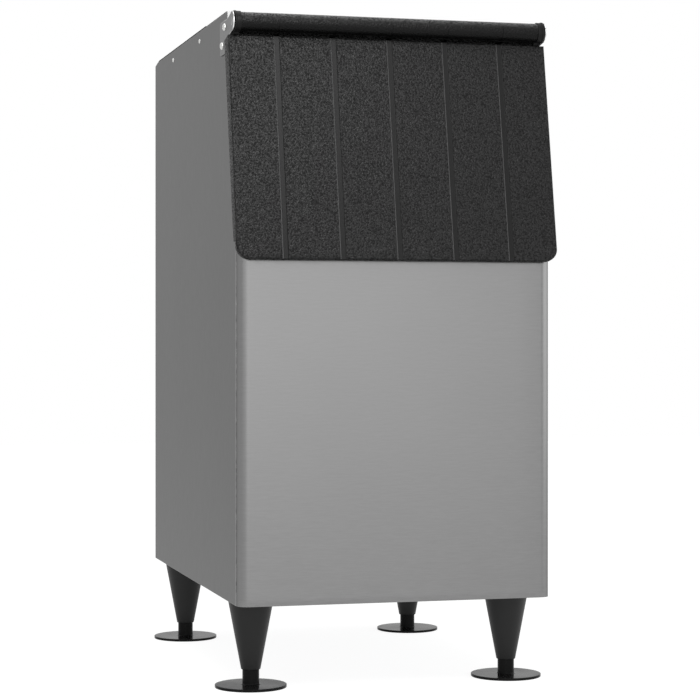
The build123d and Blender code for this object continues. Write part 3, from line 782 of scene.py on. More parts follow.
FINISHES: dict[Slot, Finish] = {
    Slot.STAINLESS: STAINLESS,
    Slot.GALVANISED: GalvanisedSheet("galvanised_sheet", "#8E9092", 0.45),
    Slot.PLATED: PlatedSteel("zinc_plated_steel", "#C8C8C6", 0.28),
    Slot.DOOR: PebbledAbs("pebbled_abs", "#131313", 0.3),
    Slot.HINGE: MouldedPolymer("satin_black_polymer", "#101010", 0.42, gloss=0.12),
    Slot.INNER: MouldedPolymer("thermoformed_grey_polystyrene", "#5A5A5A", 0.45, stipple=1.2),
    Slot.LINER: MouldedPolymer("rotomoulded_white_polyethylene", "#DADBD9", 0.38, stipple=2.0, flow=120.0,
                               tint=0.03, wear_and_highlight=0.02),
    Slot.STRIP: MouldedPolymer("extruded_grey_pvc", "#9A9A9A", 0.4, wear_and_highlight=0.1),
    Slot.FOAM: CellularFoam("rigid_polyurethane_foam", "#C9B37C", 0.9, pore=1.4),
    Slot.TAPE: CellularFoam("closed_cell_foam_tape", "#1C1C1C", 0.85),
    Slot.SEAL: MouldedPolymer("soft_black_vinyl", "#232323", 0.55),
    Slot.BUSH: MouldedPolymer("white_acetal", "#D2D2CE", 0.3, wear_and_highlight=0.02),
    Slot.LEG: MouldedPolymer("black_polyamide", "#1F1F1F", 0.45, stipple=0.8, gloss=0.22),
    Slot.FOOT: MouldedPolymer("glossy_black_polyamide", "#181818", 0.2, stipple=1.5, stipple_depth=0.008,
                              gloss=0.045),
    Slot.DRAIN: MouldedPolymer("white_abs", "#CFCFC9", 0.35, wear_and_highlight=0.02),
}


def dress(piece: Piece, finish: Finish) -> None:
    """Give a piece one finish, in place of what it had."""
    piece.data.materials.clear()
    piece.data.materials.append(finish.material())


def place_piece(piece: Piece, body: str, slot: Slot, *nodes: str, finish: Finish | None = None) -> None:
    """Dress a new piece, let it ride on its body and stand for its CAD nodes.

    Args:
        piece: The new object.
        body: CAD body that it moves with.
        slot: Record slot that its finish comes from.
        *nodes: CAD nodes that it stands for.
        finish: Finish to use where it isn't the slot's usual one.
    """
    mark_wear(piece.data)
    dress(piece, finish or FINISHES[slot])
    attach(piece, body)
    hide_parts(*nodes)
    log.info("%s: %d faces, stands for %s", piece.name, len(piece.data.polygons), ", ".join(nodes))


# Sub-assemblies


@dataclass
class Cabinet:
    """The stainless skins: front with round corners, sides with their turned-in flanges."""

    half_width: float = SIDE_BOX[1, X]
    depth: float = SIDE_BOX[1, Y]
    bottom: float = SIDE_BOX[0, Z]
    top: float = SIDE_BOX[1, Z]
    slope_start: float = 739.4
    slope_setback: float = 93.0
    corner: float = 19.0
    corner_faces: int = 16
    run_points: int = 13
    sheet: float = 1.0
    edge: float = 0.3
    edge_ring: float = 0.02
    seam_gap: float = 0.8
    seam_step: float = 0.9
    lap: float = 14.0
    lap_edge: float = 0.2
    side_edge: float = 0.4
    side_radii: tuple[float, ...] = (1.0, 1.0, 1.0, 2.0, 1.0, 1.0)
    rear_slope: Point = (28.0, 4.5)
    flange_lift: float = 24.0
    top_flange: float = 22.0
    top_flange_start: float = 1.5
    top_flange_sunk: float = 0.02
    rear_flange: float = 16.0
    rear_flange_drop: float = 40.0

    def slope_y(self, z: float) -> float:
        """Depth of the sloped front at a height."""
        return self.slope_setback * (z - self.slope_start) / (self.top - self.slope_start)

    def slope_z(self, y: np.ndarray) -> np.ndarray:
        """Height of the sloped front at a depth."""
        return self.slope_start + y * (self.top - self.slope_start) / self.slope_setback

    def build(self) -> None:
        """Build and dress every skin."""
        self.front_panel()
        for side in Side:
            self.side_panel(side)

    def front_panel(self) -> None:
        """The front sheet with its two round corners and the lap strips behind the side panels.

        The plan is a quarter circle, a straight run and a quarter circle. At each plan point the
        sheet's section, a thin upright loop with round ends, stands along the inward normal; its second
        half is the first one turned about the middle. The sheet's ends lie a little deeper than the
        side panels, whose edges therefore show as light lines, made lighter by a painted edge highlight.
        """
        half, r, t = self.half_width - self.seam_step, self.corner, self.sheet
        turn_left, turn_right = (arc((0, 0), 1, start, start + 90, self.corner_faces) for start in (180, 270))
        left, right = turn_left * r + (r - half, r), turn_right * r + (half - r, r)
        run = np.linspace(left[-1], right[0], self.run_points)[1:-1]
        plan = np.concatenate([left, run, right])
        normal = np.concatenate([turn_left, np.tile([0.0, -1.0], (len(run), 1)), turn_right])
        bend = np.radians(np.linspace(0, 90, EDGE_RINGS))
        drawn_in, drop = self.edge * (1 - np.cos(bend)), self.edge * (1 - np.sin(bend))
        inward = np.concatenate([[0, 0], drawn_in, t - drawn_in[::-1]])
        share = np.concatenate([[self.edge_ring, 1 - self.edge_ring], np.ones(2 * EDGE_RINGS)])
        lift = np.concatenate([[0, 0], -drop, -drop[::-1]])
        inward, share, lift = (np.concatenate([rising, whole - rising])
                               for rising, whole in ((inward, t), (share, 1), (lift, 0)))
        height = self.slope_z(plan[:, 1]) - self.bottom
        z = self.bottom + share[:, None] * height + lift[:, None]
        grid = np.concatenate([plan - inward[:, None, None] * normal, z[..., None]], axis=-1)
        builder = Builder().grid(np.concatenate([grid, grid[:1]])).ends(grid[:, 0], grid[:, -1])
        near, far, low = r - t, r + self.lap, self.bottom + self.flange_lift
        lap = np.array([(near, low), (far, low), (far, self.slope_z(far)), (near, self.slope_z(near))])
        for side in Side:
            builder.slab(SEEN_FROM_RIGHT, lap, *side.span(half - t, half - 2 * t), self.lap_edge)
        place_piece(builder.finish("front_sheet"), "cabinet", Slot.STAINLESS, "front_panel")

    def side_panel(self, side: Side) -> None:
        """One side sheet with its top and rear flanges, all with softly rounded edges.

        Args:
            side: Side that it closes.
        """
        seam = self.corner + self.seam_gap
        t, half, depth, top = self.sheet, self.half_width, self.depth, self.top
        back, drop = self.rear_slope
        outline = rounded_corners(
            [(seam, self.bottom), (depth, self.bottom), (depth, top - drop), (depth - back, top),
             (self.slope_y(top), top), (seam, self.slope_z(seam))], self.side_radii, 4)
        low, high = side.span(half - t - self.top_flange, half - self.side_edge)
        top_flange = rectangle((low, self.slope_y(top) + self.top_flange_start), (high, depth - back - t))
        low, high = side.span(half - t - self.rear_flange, half - self.side_edge)
        rear_flange = rectangle((low, depth - 2 * t), (high, depth - t))
        builder = Builder()
        builder.slab(SEEN_FROM_RIGHT, outline, *side.span(half - t, half), self.side_edge)
        builder.slab(SEEN_FROM_ABOVE, top_flange, top - t, top - self.top_flange_sunk, self.edge)
        builder.slab(SEEN_FROM_ABOVE, rear_flange, self.bottom + self.flange_lift,
                     top - self.rear_flange_drop, self.edge)
        # This finish lightens the sheet's rounded edges strongly: a painted highlight along them, besides
        # wear
        place_piece(builder.finish(side.label + "_side_sheet"), "cabinet", Slot.STAINLESS,
                    side.label + "_side_panel", finish=STAINLESS_UPRIGHT)


@dataclass(frozen=True)
class ScrewHead:
    """Domed screw head with a cross recess; the cross's sizes are shares of the head's radius."""

    radius: float
    height: float
    arm_length: float
    arm_half_width: float = 0.13
    side_blur: float = 0.025
    end_blur: float = 0.03
    recess_depth: float = 0.5
    recess_slant: Point = (1.15, 0.5)
    roundness: float = 0.45
    skirt: float = 0.6
    fine_rings: tuple[float, int] = (0.62, 14)
    outer_rings: tuple[float, int] = (0.68, 9)
    faces: int = 72

    def add(self, builder: Builder, axes: Axes) -> None:
        """Add the head to a piece.

        On a grid of radius and angle the dome's height follows one less the squared radius, raised to
        the roundness. A cross is taken out of it: deep where the smaller of the two distances to the
        cross's arms is under the arm's half width, and shallower towards the arms' ends.

        Args:
            builder: Where the head is added.
            axes: Centre of the head's seat; the head stands along the third direction.
        """
        start, rings = self.outer_rings
        share = np.concatenate([np.linspace(0, *self.fine_rings), np.linspace(start, 1, rings)])[::-1, None]
        angle = np.linspace(0, 2 * pi, self.faces, endpoint=False)[None, :]
        x, y = share * np.cos(angle), share * np.sin(angle)
        near, far = np.minimum(abs(x), abs(y)), np.maximum(abs(x), abs(y))
        arm = (1 / (1 + np.exp((near - self.arm_half_width) / self.side_blur))
               / (1 + np.exp((far - self.arm_length) / self.end_blur)))
        middle, fall = self.recess_slant
        slant = np.clip(middle - far / self.arm_length * fall, 0, 1)
        z = self.height * (np.clip(1 - share ** 2, 0, 1) ** self.roundness - arm * self.recess_depth * slant)
        head = axes.place(self.radius * x, self.radius * y, z)
        skirt = axes.place(self.radius * np.cos(angle), self.radius * np.sin(angle),
                           np.array([[-self.skirt]]))
        builder.grid(np.concatenate([skirt, head]), around=True)


BRACKET_SCREW = ScrewHead(6.6, 4.4, 0.55)
PANEL_SCREW = ScrewHead(4.2, 2.2, 0.5)


@dataclass
class Hinge:
    """Brackets with their round ears, the pin ends and the domed screws."""

    y: float = PIN_BOX[:, Y].mean()
    z: float = PIN_BOX[:, Z].mean()
    ear: float = 17.5
    sheet: float = 2.0
    sheet_edge: float = 0.8
    plate_y: tuple[float, ...] = (76.0, 80.0, 104.0, 146.0)
    plate_drop: tuple[float, ...] = (14.0, 46.0, 72.0)
    plate_radii: tuple[float, ...] = (0, 10, 6, 5, 5, 8, 0)
    lightening_start: float = 4.0
    lightening_fade: float = 20.0
    pin: float = 5.0
    pin_length: float = 29.0
    pin_chamfer: float = 0.5
    rivet: Point = (1.2, 0.5)
    undercut: float = 0.1
    screw_y: Point = (104.0, 125.5)
    screw_drop: Point = (26.0, 55.8)

    def build(self, cabinet: Cabinet) -> None:
        """Build both brackets, their pins and all four screws.

        Args:
            cabinet: The cabinet that carries them.
        """
        heads = Builder()
        for side in Side:
            self.bracket(cabinet, side)
            self.pin_end(cabinet, side)
            for y, drop in zip(self.screw_y, self.screw_drop):
                BRACKET_SCREW.add(heads, side.axes(cabinet.half_width + self.sheet, y, cabinet.top - drop))
        place_piece(heads.finish("bracket_screw_heads"), "cabinet", Slot.PLATED, "bracket_screws")

    def bracket(self, cabinet: Cabinet, side: Side) -> None:
        """Plate and ear in one outline: straight edges behind, a half circle in front.

        Its edges are lightened as wear and as a painted highlight; this lightening fades out towards the
        lower edge.

        Args:
            cabinet: The cabinet that carries it.
            side: Side that it stands on.
        """
        waist_y, top_y, bottom_y, rear_y = self.plate_y
        top, waist, bottom = (cabinet.top - drop for drop in self.plate_drop)
        body = rounded_corners(
            [(self.y, self.z - self.ear), (waist_y, waist), (bottom_y, bottom), (rear_y, bottom),
             (rear_y, top), (top_y, top), (self.y, self.z + self.ear)], self.plate_radii, 5)
        outline = np.concatenate([body, arc((self.y, self.z), self.ear, 90, 270, 24)[1:-1]])
        face = cabinet.half_width
        plate = Builder().slab(SEEN_FROM_RIGHT, outline, *side.span(face, face + self.sheet),
                               self.sheet_edge).finish(side.label + "_bracket_plate")
        place_piece(plate, "cabinet", Slot.STAINLESS, side.label + "_hinge_bracket", finish=STAINLESS_BRIGHT)
        # Painted highlight with wear: the edge lightening fades out towards the plate's lower edge
        wear = plate.data.attributes["wear"].data
        height = read(plate.data.vertices, "co", 3)[:, Z] / MM - bottom
        faded = read(wear, "value") * np.clip((height - self.lightening_start) / self.lightening_fade, 0, 1)
        wear.foreach_set("value", faded)

    def pin_end(self, cabinet: Cabinet, side: Side) -> None:
        """Hinge pin with a lightly domed riveted end on the bracket's outer face.

        Args:
            cabinet: The cabinet that carries it.
            side: Side that it stands on.
        """
        length, chamfer = self.pin_length, self.pin_chamfer
        axes = side.axes(cabinet.half_width + self.sheet - length, self.y, self.z)
        wide = self.pin + self.rivet[0]
        turn = np.radians(np.linspace(0, 90, 7))
        dome = np.stack([wide * np.cos(turn), length + self.rivet[1] * np.sin(turn)], axis=1)
        shank = [(0, 0), (self.pin - chamfer, 0), (self.pin, chamfer), (self.pin, length - self.undercut),
                 (wide, length - self.undercut / 2)]
        pin = Builder().lathe(axes, np.concatenate([shank, dome]), 40).finish(side.label + "_riveted_pin")
        place_piece(pin, "cabinet", Slot.PLATED, side.label + "_hinge_pin", finish=STAINLESS_BRIGHT)


@dataclass
class Door:
    """Black lift-up door: grooved face, rounded rim, side laps, notched ledge, hinge roll and cheeks.

    It is drawn in the plane of its face: along is X, up runs up the face, and out stands out of it.
    """

    half_width: float = SHELL_BOX[1, X]
    foot: Point = (-17.3, 739.4)
    rise: float = 384.0
    setback: float = 71.7
    wall: float = 3.0
    wall_edge: float = 0.6
    rim: float = 2.4
    corner: float = 22.0
    face_rows: int = 41
    face_columns: int = 49
    gap: float = 6.0
    lap: float = 7.0
    lap_start: float = 34.0
    lap_step: float = 2e-5
    grooves: int = 5
    groove_margin: float = 84.6
    groove_width: float = 9.0
    groove_depth: float = 1.2
    flank: float = 1.3
    flank_columns: tuple[float, ...] = (-0.75, -0.5, -0.25, 0.0, 0.25, 0.5, 0.75, 1.0)
    roll_radius: float = 16.0
    roll_end: float = CHEEK_BOX[0, X]
    roll_faces: int = 54
    seam_width: float = 1.4
    seam_side: float = 0.05
    seam_depth: float = 0.6
    ledge: Point = (-21.0, -4.0)
    ledge_height: float = 7.0
    ledge_points: tuple[float, ...] = (0.0, 1.5, 3.5, 5.5)
    neck_front: float = -8.0
    notch_width: float = 10.0
    notch_side: float = 0.01
    notch_depth: float = 8.0
    join_angle: float = 130.0
    cheek_radius: float = 18.5
    cheek_front: float = -2.5
    cheek_end: float = CHEEK_BOX[1, X]
    cheek_edge: float = 1.1
    cheek_faces: int = 48
    flange: float = 4.0
    sleeve: float = 11.5
    sleeve_radius: float = 17.6
    sleeve_overlap: float = 0.5
    sleeve_edge: float = 0.1
    # Painted light: the flank line's width share and colour gain make a painted highlight line; round the
    # roll the colour factors paint a highlight on top and shade below
    painted_line_share: float = 0.6
    flank_shade: float = 8.0
    roll_painted_light: tuple[Point, ...] = ((-0.3, -1.0), (0.1, -0.9), (0.35, -0.4), (0.6, 1.2), (0.9, 4.5))

    def __post_init__(self) -> None:
        """Work out the face's lean, its length, the groove places and the hinge line on the face."""
        self.lean = lean = atan2(self.setback, self.rise)
        self.axes = Axes((0.0, *self.foot), (1, 0, 0), (0, sin(lean), cos(lean)))
        self.section = Axes((0.0, *self.foot), (0, -cos(lean), sin(lean)), (0, sin(lean), cos(lean)))
        self.length = hypot(self.setback, self.rise)
        outermost = self.half_width - self.groove_margin
        self.places = np.linspace(-outermost, outermost, self.grooves)
        back, height = Hinge().y - self.foot[0], Hinge().z - self.foot[1]
        self.hinge = (height * sin(lean) - back * cos(lean), height * cos(lean) + back * sin(lean))

    def build(self, cabinet: Cabinet) -> None:
        """Build the outer shell and both cheeks.

        Args:
            cabinet: The cabinet whose slope the walls follow.
        """
        builder = Builder()
        self.face(builder, cabinet)
        self.roll(builder)
        shell = builder.finish("grooved_door_shell")
        self.mark_surface(shell.data)
        place_piece(shell, "door", Slot.DOOR, "door_outer_shell")
        for side in Side:
            self.cheek(side)

    def groove(self, x: np.ndarray) -> np.ndarray:
        """Depth of the face: the full depth in a groove, and half a cosine wave up each flank.

        Args:
            x: Places across the door.

        Returns:
            The depth at each of them.
        """
        away = abs(x[..., None] - self.places).min(axis=-1)
        share = np.clip((self.groove_width / 2 + self.flank / 2 - away) / self.flank, 0, 1)
        return self.groove_depth * (1 - np.cos(pi * share)) / 2

    def parallel(self, cabinet: Cabinet, up: np.ndarray, offset: float) -> np.ndarray:
        """How far out a plane lies that runs along the cabinet's slope, in front of it by the offset.

        Args:
            cabinet: The cabinet with its slope.
            up: Places up the face.
            offset: Distance between the plane and the slope.

        Returns:
            The plane's distance from the face at each place.
        """
        tilt = self.lean - atan2(cabinet.slope_setback, cabinet.top - cabinet.slope_start)
        start = (self.foot[0] * cos(self.lean), -self.foot[0] * sin(self.lean))
        return start[0] + offset / cos(tilt) + np.tan(tilt) * (up - start[1])

    def columns(self) -> np.ndarray:
        """X of the face's columns: round the lower corners, over each groove's flanks, and between.

        Returns:
            The columns in order.
        """
        side = self.half_width - self.corner
        arcs = side + (self.corner - self.rim) * np.sin(np.radians(np.linspace(0, 90, 13)))
        steps = self.groove_width / 2 + self.flank * np.array(self.flank_columns)
        flanks = (self.places[:, None] + np.concatenate([-steps, [0], steps])).ravel()
        between = np.linspace(-side, side, self.face_columns)[1:-1]
        clear = abs(between[:, None] - self.places).min(axis=1) > self.groove_width
        return np.unique(np.concatenate([-arcs, arcs, flanks, between[clear]]))

    def face(self, builder: Builder, cabinet: Cabinet) -> None:
        """The face, its rounded rim, the walls with their laps, and the inside.

        The face is a grid over the outline drawn in by the rim's radius: each column starts on the lower
        line, which is straight and then a quarter circle. From the grid's border, rings go round the rim
        as a quarter circle, down the outside of the wall, over its edge and up the inside.

        Args:
            builder: Where the face is added.
            cabinet: The cabinet whose slope the walls follow.
        """
        x = self.columns()
        small, reach = self.corner - self.rim, self.half_width - self.corner
        low = self.corner - np.sqrt(np.clip(small ** 2 - np.clip(abs(x) - reach, 0, None) ** 2, 0, None))
        high = self.length - self.rim
        step = (self.lap_start - self.corner) / (high - self.corner)
        share = np.unique(np.concatenate([np.linspace(0, 1, self.face_rows), [step, step - self.lap_step]]))
        rows = low + share[:, None] * (high - low)
        builder.grid(self.axes.place(x[None, :], rows, -self.groove(x)[None, :]))
        number = np.arange(rows.size).reshape(rows.shape)
        around = np.concatenate([number[0], number[1:, -1], number[-1, -2::-1], number[-2:0:-1, 0]])
        border = np.stack([np.broadcast_to(x, rows.shape).ravel()[around], rows.ravel()[around]], axis=1)
        upright = np.isclose(abs(border[:, 0]), x[-1])
        upright &= border[:, 1] > self.lap_start - self.lap_step * high / 2
        edge = np.where(upright, self.parallel(cabinet, border[:, 1], -self.lap),
                        self.parallel(cabinet, border[:, 1], self.gap))
        groove = self.groove(border[:, 0])
        turn = np.radians(np.linspace(0, 90, 7))
        bend, inside = self.wall_edge, self.rim - self.wall
        rings = [(self.rim * sin(t), -np.maximum(groove, self.rim * (1 - cos(t)))) for t in turn]
        rings += [(self.rim - bend * (1 - cos(t)), edge + bend * (1 - sin(t))) for t in turn[::2]]
        rings += [(inside + bend * (1 - sin(t)), edge + bend * (1 - cos(t))) for t in turn[::2]]
        rings += [(inside, 0 * edge - self.wall)]
        grid = np.stack([self.axes.place(*inset(border, -out).T, depth) for out, depth in rings[::-1]])
        builder.grid(grid, around=True).ends(grid[0])

    def roll(self, builder: Builder) -> None:
        """The ledge, neck and hinge roll: one section carried along the top of the door.

        The section goes up the ledge's front, out along the neck to the roll, round it and down the back.
        At a notch the ledge's front steps back, and at a seam the roll's radius is a little smaller.

        Args:
            builder: Where the roll is added.
        """
        half, seam = self.notch_width / 2, self.seam_width / 2
        offsets = np.array([half + self.notch_side, half, seam + self.seam_side, seam])
        offsets = np.concatenate([-offsets, offsets[::-1]])
        x = np.concatenate([[-self.roll_end], (self.places[:, None] + offsets).ravel(), [self.roll_end]])
        notched, seamed = (np.array([0, *(inside * self.grooves), 0], bool)
                           for inside in ([0, 1, 1, 1, 1, 1, 1, 0], [0, 0, 0, 1, 1, 0, 0, 0]))
        radii = self.roll_radius - self.seam_depth * seamed
        back, front = self.ledge
        edge, top = self.length, self.length + self.ledge_height
        neck_low = edge + self.ledge_height / 2
        run = (self.hinge[0] - self.neck_front, self.hinge[1] - neck_low)
        meet = (self.neck_front + run[0] * (top - neck_low) / run[1], top)
        start = (front, edge - self.wall)
        plain = np.array([start, *((front, edge + height) for height in self.ledge_points), meet])
        rear = front - self.notch_depth
        cut = np.array([start, (front, edge), (rear, edge), (rear, neck_low), (self.neck_front, neck_low),
                        meet])
        first = degrees(atan2(-run[1], -run[0])) + 360
        circle = arc((0, 0), 1, first, self.join_angle + 360, self.roll_faces)
        lower = np.where(notched[:, None, None], cut, plain)
        around = np.array(self.hinge) + radii[:, None, None] * circle
        behind = np.broadcast_to([(back, self.hinge[1] - self.roll_radius / 2), (back, edge - self.wall)],
                                 (len(x), 2, 2))
        loop = np.concatenate([lower, around, behind], axis=1)[:, ::-1]
        grid = self.axes.place(x[:, None], loop[..., 1], loop[..., 0])
        builder.grid(grid, around=True).ends(grid[0], grid[-1])

    def mark_surface(self, mesh: Mesh) -> None:
        """Mark polish, matt and shade for the shell's finish.

        The grooves' floors are polished, and so is the upper edge of each flank that faces right, which
        shows as a painted highlight line. The walls are matt. Round the roll a painted highlight lies on
        top and painted shade below, following the height of the surface's direction.

        Args:
            mesh: Mesh of the shell.
        """
        place = read(mesh.vertices, "co", 3) / MM - ORIGIN - np.array(self.axes.origin)
        up, out = place @ np.array(self.axes.up), place @ np.array(self.section.along)
        offset = place[:, :1] - self.places
        nearest = np.take_along_axis(offset, abs(offset).argmin(axis=1)[:, None], axis=1)[:, 0]
        face = (up < self.length) & (out > -self.rim)
        edge = self.groove_width / 2
        # Painted highlight: a light line along the upper edge of each flank that faces right
        painted_line = (abs(nearest + edge + self.flank / 4) < self.flank * self.painted_line_share) & face
        floor = np.clip((edge - abs(nearest)) / self.flank * 4, 0, 1) * face
        mark(mesh, "polish", np.maximum(floor, painted_line))
        mark(mesh, "matt", np.clip(-out / self.rim, 0, 1) * (up < self.length))
        from_hinge = np.stack([out - self.hinge[0], up - self.hinge[1]], axis=1)
        height = (from_hinge @ [sin(self.lean), cos(self.lean)]) / np.hypot(*from_hinge.T)
        # Painted highlight on top of the roll and painted shade below it, by the height of the surface's
        # direction
        painted_roll_light = np.interp(height, *np.array(self.roll_painted_light).T) * (up > self.length + 1)
        mark(mesh, "shade", painted_line * self.flank_shade + painted_roll_light)

    def cheek(self, side: Side) -> None:
        """End piece of the roll: a drop-shaped flange, straight at the ledge and round about the pin.

        Behind the flange the same outline goes on a little smaller, as a sleeve over the end of the roll.

        Args:
            side: End of the roll that it closes.
        """
        back, edge, end = self.ledge[0], self.length, self.cheek_end
        start = degrees(atan2(edge - self.hinge[1], self.cheek_front - self.hinge[0])) + 360
        outline = np.concatenate([
            [(back, self.hinge[1] - self.roll_radius / 2), (back, edge), (self.cheek_front, edge)],
            arc(self.hinge, self.cheek_radius, start, self.join_angle + 360, self.cheek_faces)])
        smaller = inset(outline, self.cheek_radius - self.sleeve_radius)
        step = end - self.flange
        builder = Builder()
        builder.slab(self.section, outline, *side.span(-step, -end), self.cheek_edge)
        builder.slab(self.section, smaller, *side.span(self.sleeve - end, -step - self.sleeve_overlap),
                     self.sleeve_edge)
        place_piece(builder.finish(side.label + "_roll_cheek"), "door", Slot.HINGE,
                    side.label + "_hinge_cheek")


@dataclass
class SealingTape:
    """Closed-cell foam tape stuck round the top opening, softly rounded where it was cut and pressed."""

    edge: float = 0.9
    outward: float = 1.7
    step: float = 293.0

    def build(self) -> None:
        """Build three strips on their CAD places."""
        for side in (None, *Side):
            label = side.label if side else "front"
            node = "top_tape_" + label
            low, high = drawn_box(node)
            strip = Builder().slab(SEEN_FROM_ABOVE, self.plan(side, low, high), low[Z], high[Z], self.edge)
            place_piece(strip.finish(label + "_foam_strip"), "cabinet", Slot.TAPE, node)

    def plan(self, side: Side | None, low: np.ndarray, high: np.ndarray) -> np.ndarray:
        """Outline of a strip; a side strip is wider to the outside behind a step.

        Args:
            side: Side that it lies on, none for the front strip.
            low: Lowest corner of the CAD strip.
            high: Its highest corner.

        Returns:
            The outline, counterclockwise.
        """
        if side is None:
            return rectangle(low, high)
        inner, outer = sorted((low[X], high[X]), key=abs)
        wide = outer + self.outward * side.value
        corners = [(inner, low[Y]), (outer, low[Y]), (outer, self.step), (wide, self.step), (wide, high[Y]),
                   (inner, high[Y])]
        return np.array(corners[::side.value])


@dataclass
class Fasteners:
    """The small screws of the side panels and the rear panel."""

    side_y: Point = (343.0, 617.0)
    side_drop: float = 18.0
    rear_x: float = 270.4
    rear_margin: float = 90.0
    rear_rows: int = 4

    def build(self, cabinet: Cabinet) -> None:
        """Build the side screws and the rear screws.

        Args:
            cabinet: The cabinet that they hold together.
        """
        sides, rear = Builder(), Builder()
        rows = np.linspace(cabinet.bottom + self.rear_margin, cabinet.top - self.rear_margin, self.rear_rows)
        for side in Side:
            for y in self.side_y:
                PANEL_SCREW.add(sides, side.axes(cabinet.half_width, y, cabinet.top - self.side_drop))
            for z in rows:
                seat = (self.rear_x * side.value, cabinet.depth, float(z))
                PANEL_SCREW.add(rear, Axes(seat, (0, 0, 1), (1, 0, 0)))
        place_piece(sides.finish("side_screw_heads"), "cabinet", Slot.PLATED, "side_panel_screws")
        place_piece(rear.finish("rear_screw_heads"), "cabinet", Slot.PLATED, "rear_panel_screws")


@dataclass
class LevellingLegs:
    """Tapered plastic legs and their round feet, which screw up and down inside them.

    Each list of points holds radius and height, counted from the radius and height in its comment.
    """

    x: float = LEG_BOX[:, X].mean()
    front_y: float = LEG_BOX[:, Y].mean()
    rear_y: float = REAR_LEG_BOX[:, Y].mean()
    height: float = LEG_BOX[1, Z]
    top_radius: float = (LEG_BOX[1, X] - LEG_BOX[0, X]) / 2
    bottom_radius: float = 17.0
    cone: float = LEG_BOX[1, Z] - LEG_BOX[0, Z]
    collar: float = 3.0
    lip: float = 0.9
    bore: float = 15.4
    # Bore radius and lower end of the leg
    bore_points: tuple[Point, ...] = ((-0.4, 62.0), (0.0, 61.5), (0.0, 0.4), (0.3, 0.0))
    # Lower radius and end, upper radius and end
    taper_ends: tuple[Point, Point] = ((0.35, 2.6), (-0.3, -3.8))
    # Upper radius and end of the leg
    collar_points: tuple[Point, ...] = ((-0.05, -3.2), (0.0, -2.8), (0.0, -0.8), (-0.25, -0.25), (-0.8, 0.0))
    leg_faces: int = 96
    foot_faces: int = 128
    disc_radius: float = (FOOT_BOX[1, X] - FOOT_BOX[0, X]) / 2
    disc: float = 4.6
    # Rim of the disc and its sole
    sole_points: tuple[Point, ...] = ((-9.0, 0.6), (-8.0, 0.0))
    sole_edge: float = 0.4
    disc_edge: float = 0.5
    # Rim of the disc and its top, stem and top of the disc
    disc_points: tuple[Point, Point] = ((-4.0, 0.0), (6.0, 0.0))
    root: float = 2.5
    stem: float = 14.7
    stem_top: float = 32.0
    stem_bevel: float = 1.0
    rod: float = 8.0
    # Radius of the rod and top of the stem
    rod_points: tuple[Point, ...] = ((0.4, 0.0), (0.0, 0.4), (0.0, 53.0), (-1.0, 54.0))

    def build(self) -> None:
        """Build a leg and a foot at each corner."""
        for row, y in (("front", self.front_y), ("rear", self.rear_y)):
            for side in Side:
                name = f"{row}_{side.label}"
                axes = Axes((self.x * side.value, y, 0), (1, 0, 0), (0, 1, 0))
                leg = Builder().lathe(axes, self.leg(), self.leg_faces).finish("tapered_leg_" + name)
                place_piece(leg, "cabinet", Slot.LEG, "leg_" + name)
                foot = Builder().lathe(axes, self.foot(), self.foot_faces).finish("round_foot_" + name)
                place_piece(foot, "levelling_foot_" + name, Slot.FOOT, "foot_" + name)

    def leg(self) -> np.ndarray:
        """Turned profile: bore, rounded lip, straight taper and the collar under the base.

        Returns:
            Radius and height of each point.
        """
        low = self.height - self.cone
        slope = degrees(atan2(self.top_radius - self.bottom_radius, self.cone - self.collar))
        bore = np.array(self.bore_points) + (self.bore, low)
        lip = arc((self.bottom_radius - self.lip, low + self.lip), self.lip, -90, -slope, 6)
        ends = np.array(self.taper_ends) + [(self.bottom_radius, low), (self.top_radius, self.height)]
        collar = np.array(self.collar_points) + (self.top_radius, self.height)
        taper = np.linspace(*ends, 12)
        return np.concatenate([[(0, bore[0, 1])], bore, lip, taper, collar, [(0, self.height)]])

    def foot(self) -> np.ndarray:
        """Turned profile: slightly hollow sole, round rim, disc, filleted root, stem and rod.

        Returns:
            Radius and height of each point.
        """
        r, top = self.disc_radius, self.height - self.cone + self.stem_top
        sole = np.array(self.sole_points) + (r, 0)
        rim = arc((r - self.sole_edge, self.sole_edge), self.sole_edge, -90, 0, 4)
        brow = arc((r - self.disc_edge, self.disc - self.disc_edge), self.disc_edge, 0, 90, 4)
        disc = np.array(self.disc_points) + [(r, self.disc), (self.stem, self.disc)]
        root = arc((self.stem + self.root, self.disc + self.root), self.root, 270, 180, 8)
        stem = [(self.stem, top - self.stem_bevel), (self.stem - self.stem_bevel, top)]
        rod = np.array(self.rod_points) + (self.rod, top)
        return np.concatenate([[(0, sole[0, 1])], sole, rim, brow, disc, root, stem, rod, [(0, rod[-1, 1])]])


@dataclass(frozen=True)
class Lamp:
    """A soft rectangular lamp: its place, its width and height in metres, and its watts."""

    name: str
    place: Place
    size: Point
    power: float

    def build(self, aim: float) -> None:
        """Set the lamp up, invisible to the camera.

        Args:
            aim: Height over the origin that it is turned to, in metres.
        """
        data = bpy.data.lights.new(self.name, "AREA")
        data.shape = "RECTANGLE"
        data.size, data.size_y = self.size
        data.energy = self.power
        lamp = bpy.data.objects.new(self.name, data)
        lamp.location = self.place
        x, y, z = self.place
        lamp.rotation_euler = (atan2(hypot(x, y), z - aim), 0.0, atan2(x, -y))
        lamp.visible_camera = False
        bpy.context.scene.collection.objects.link(lamp)


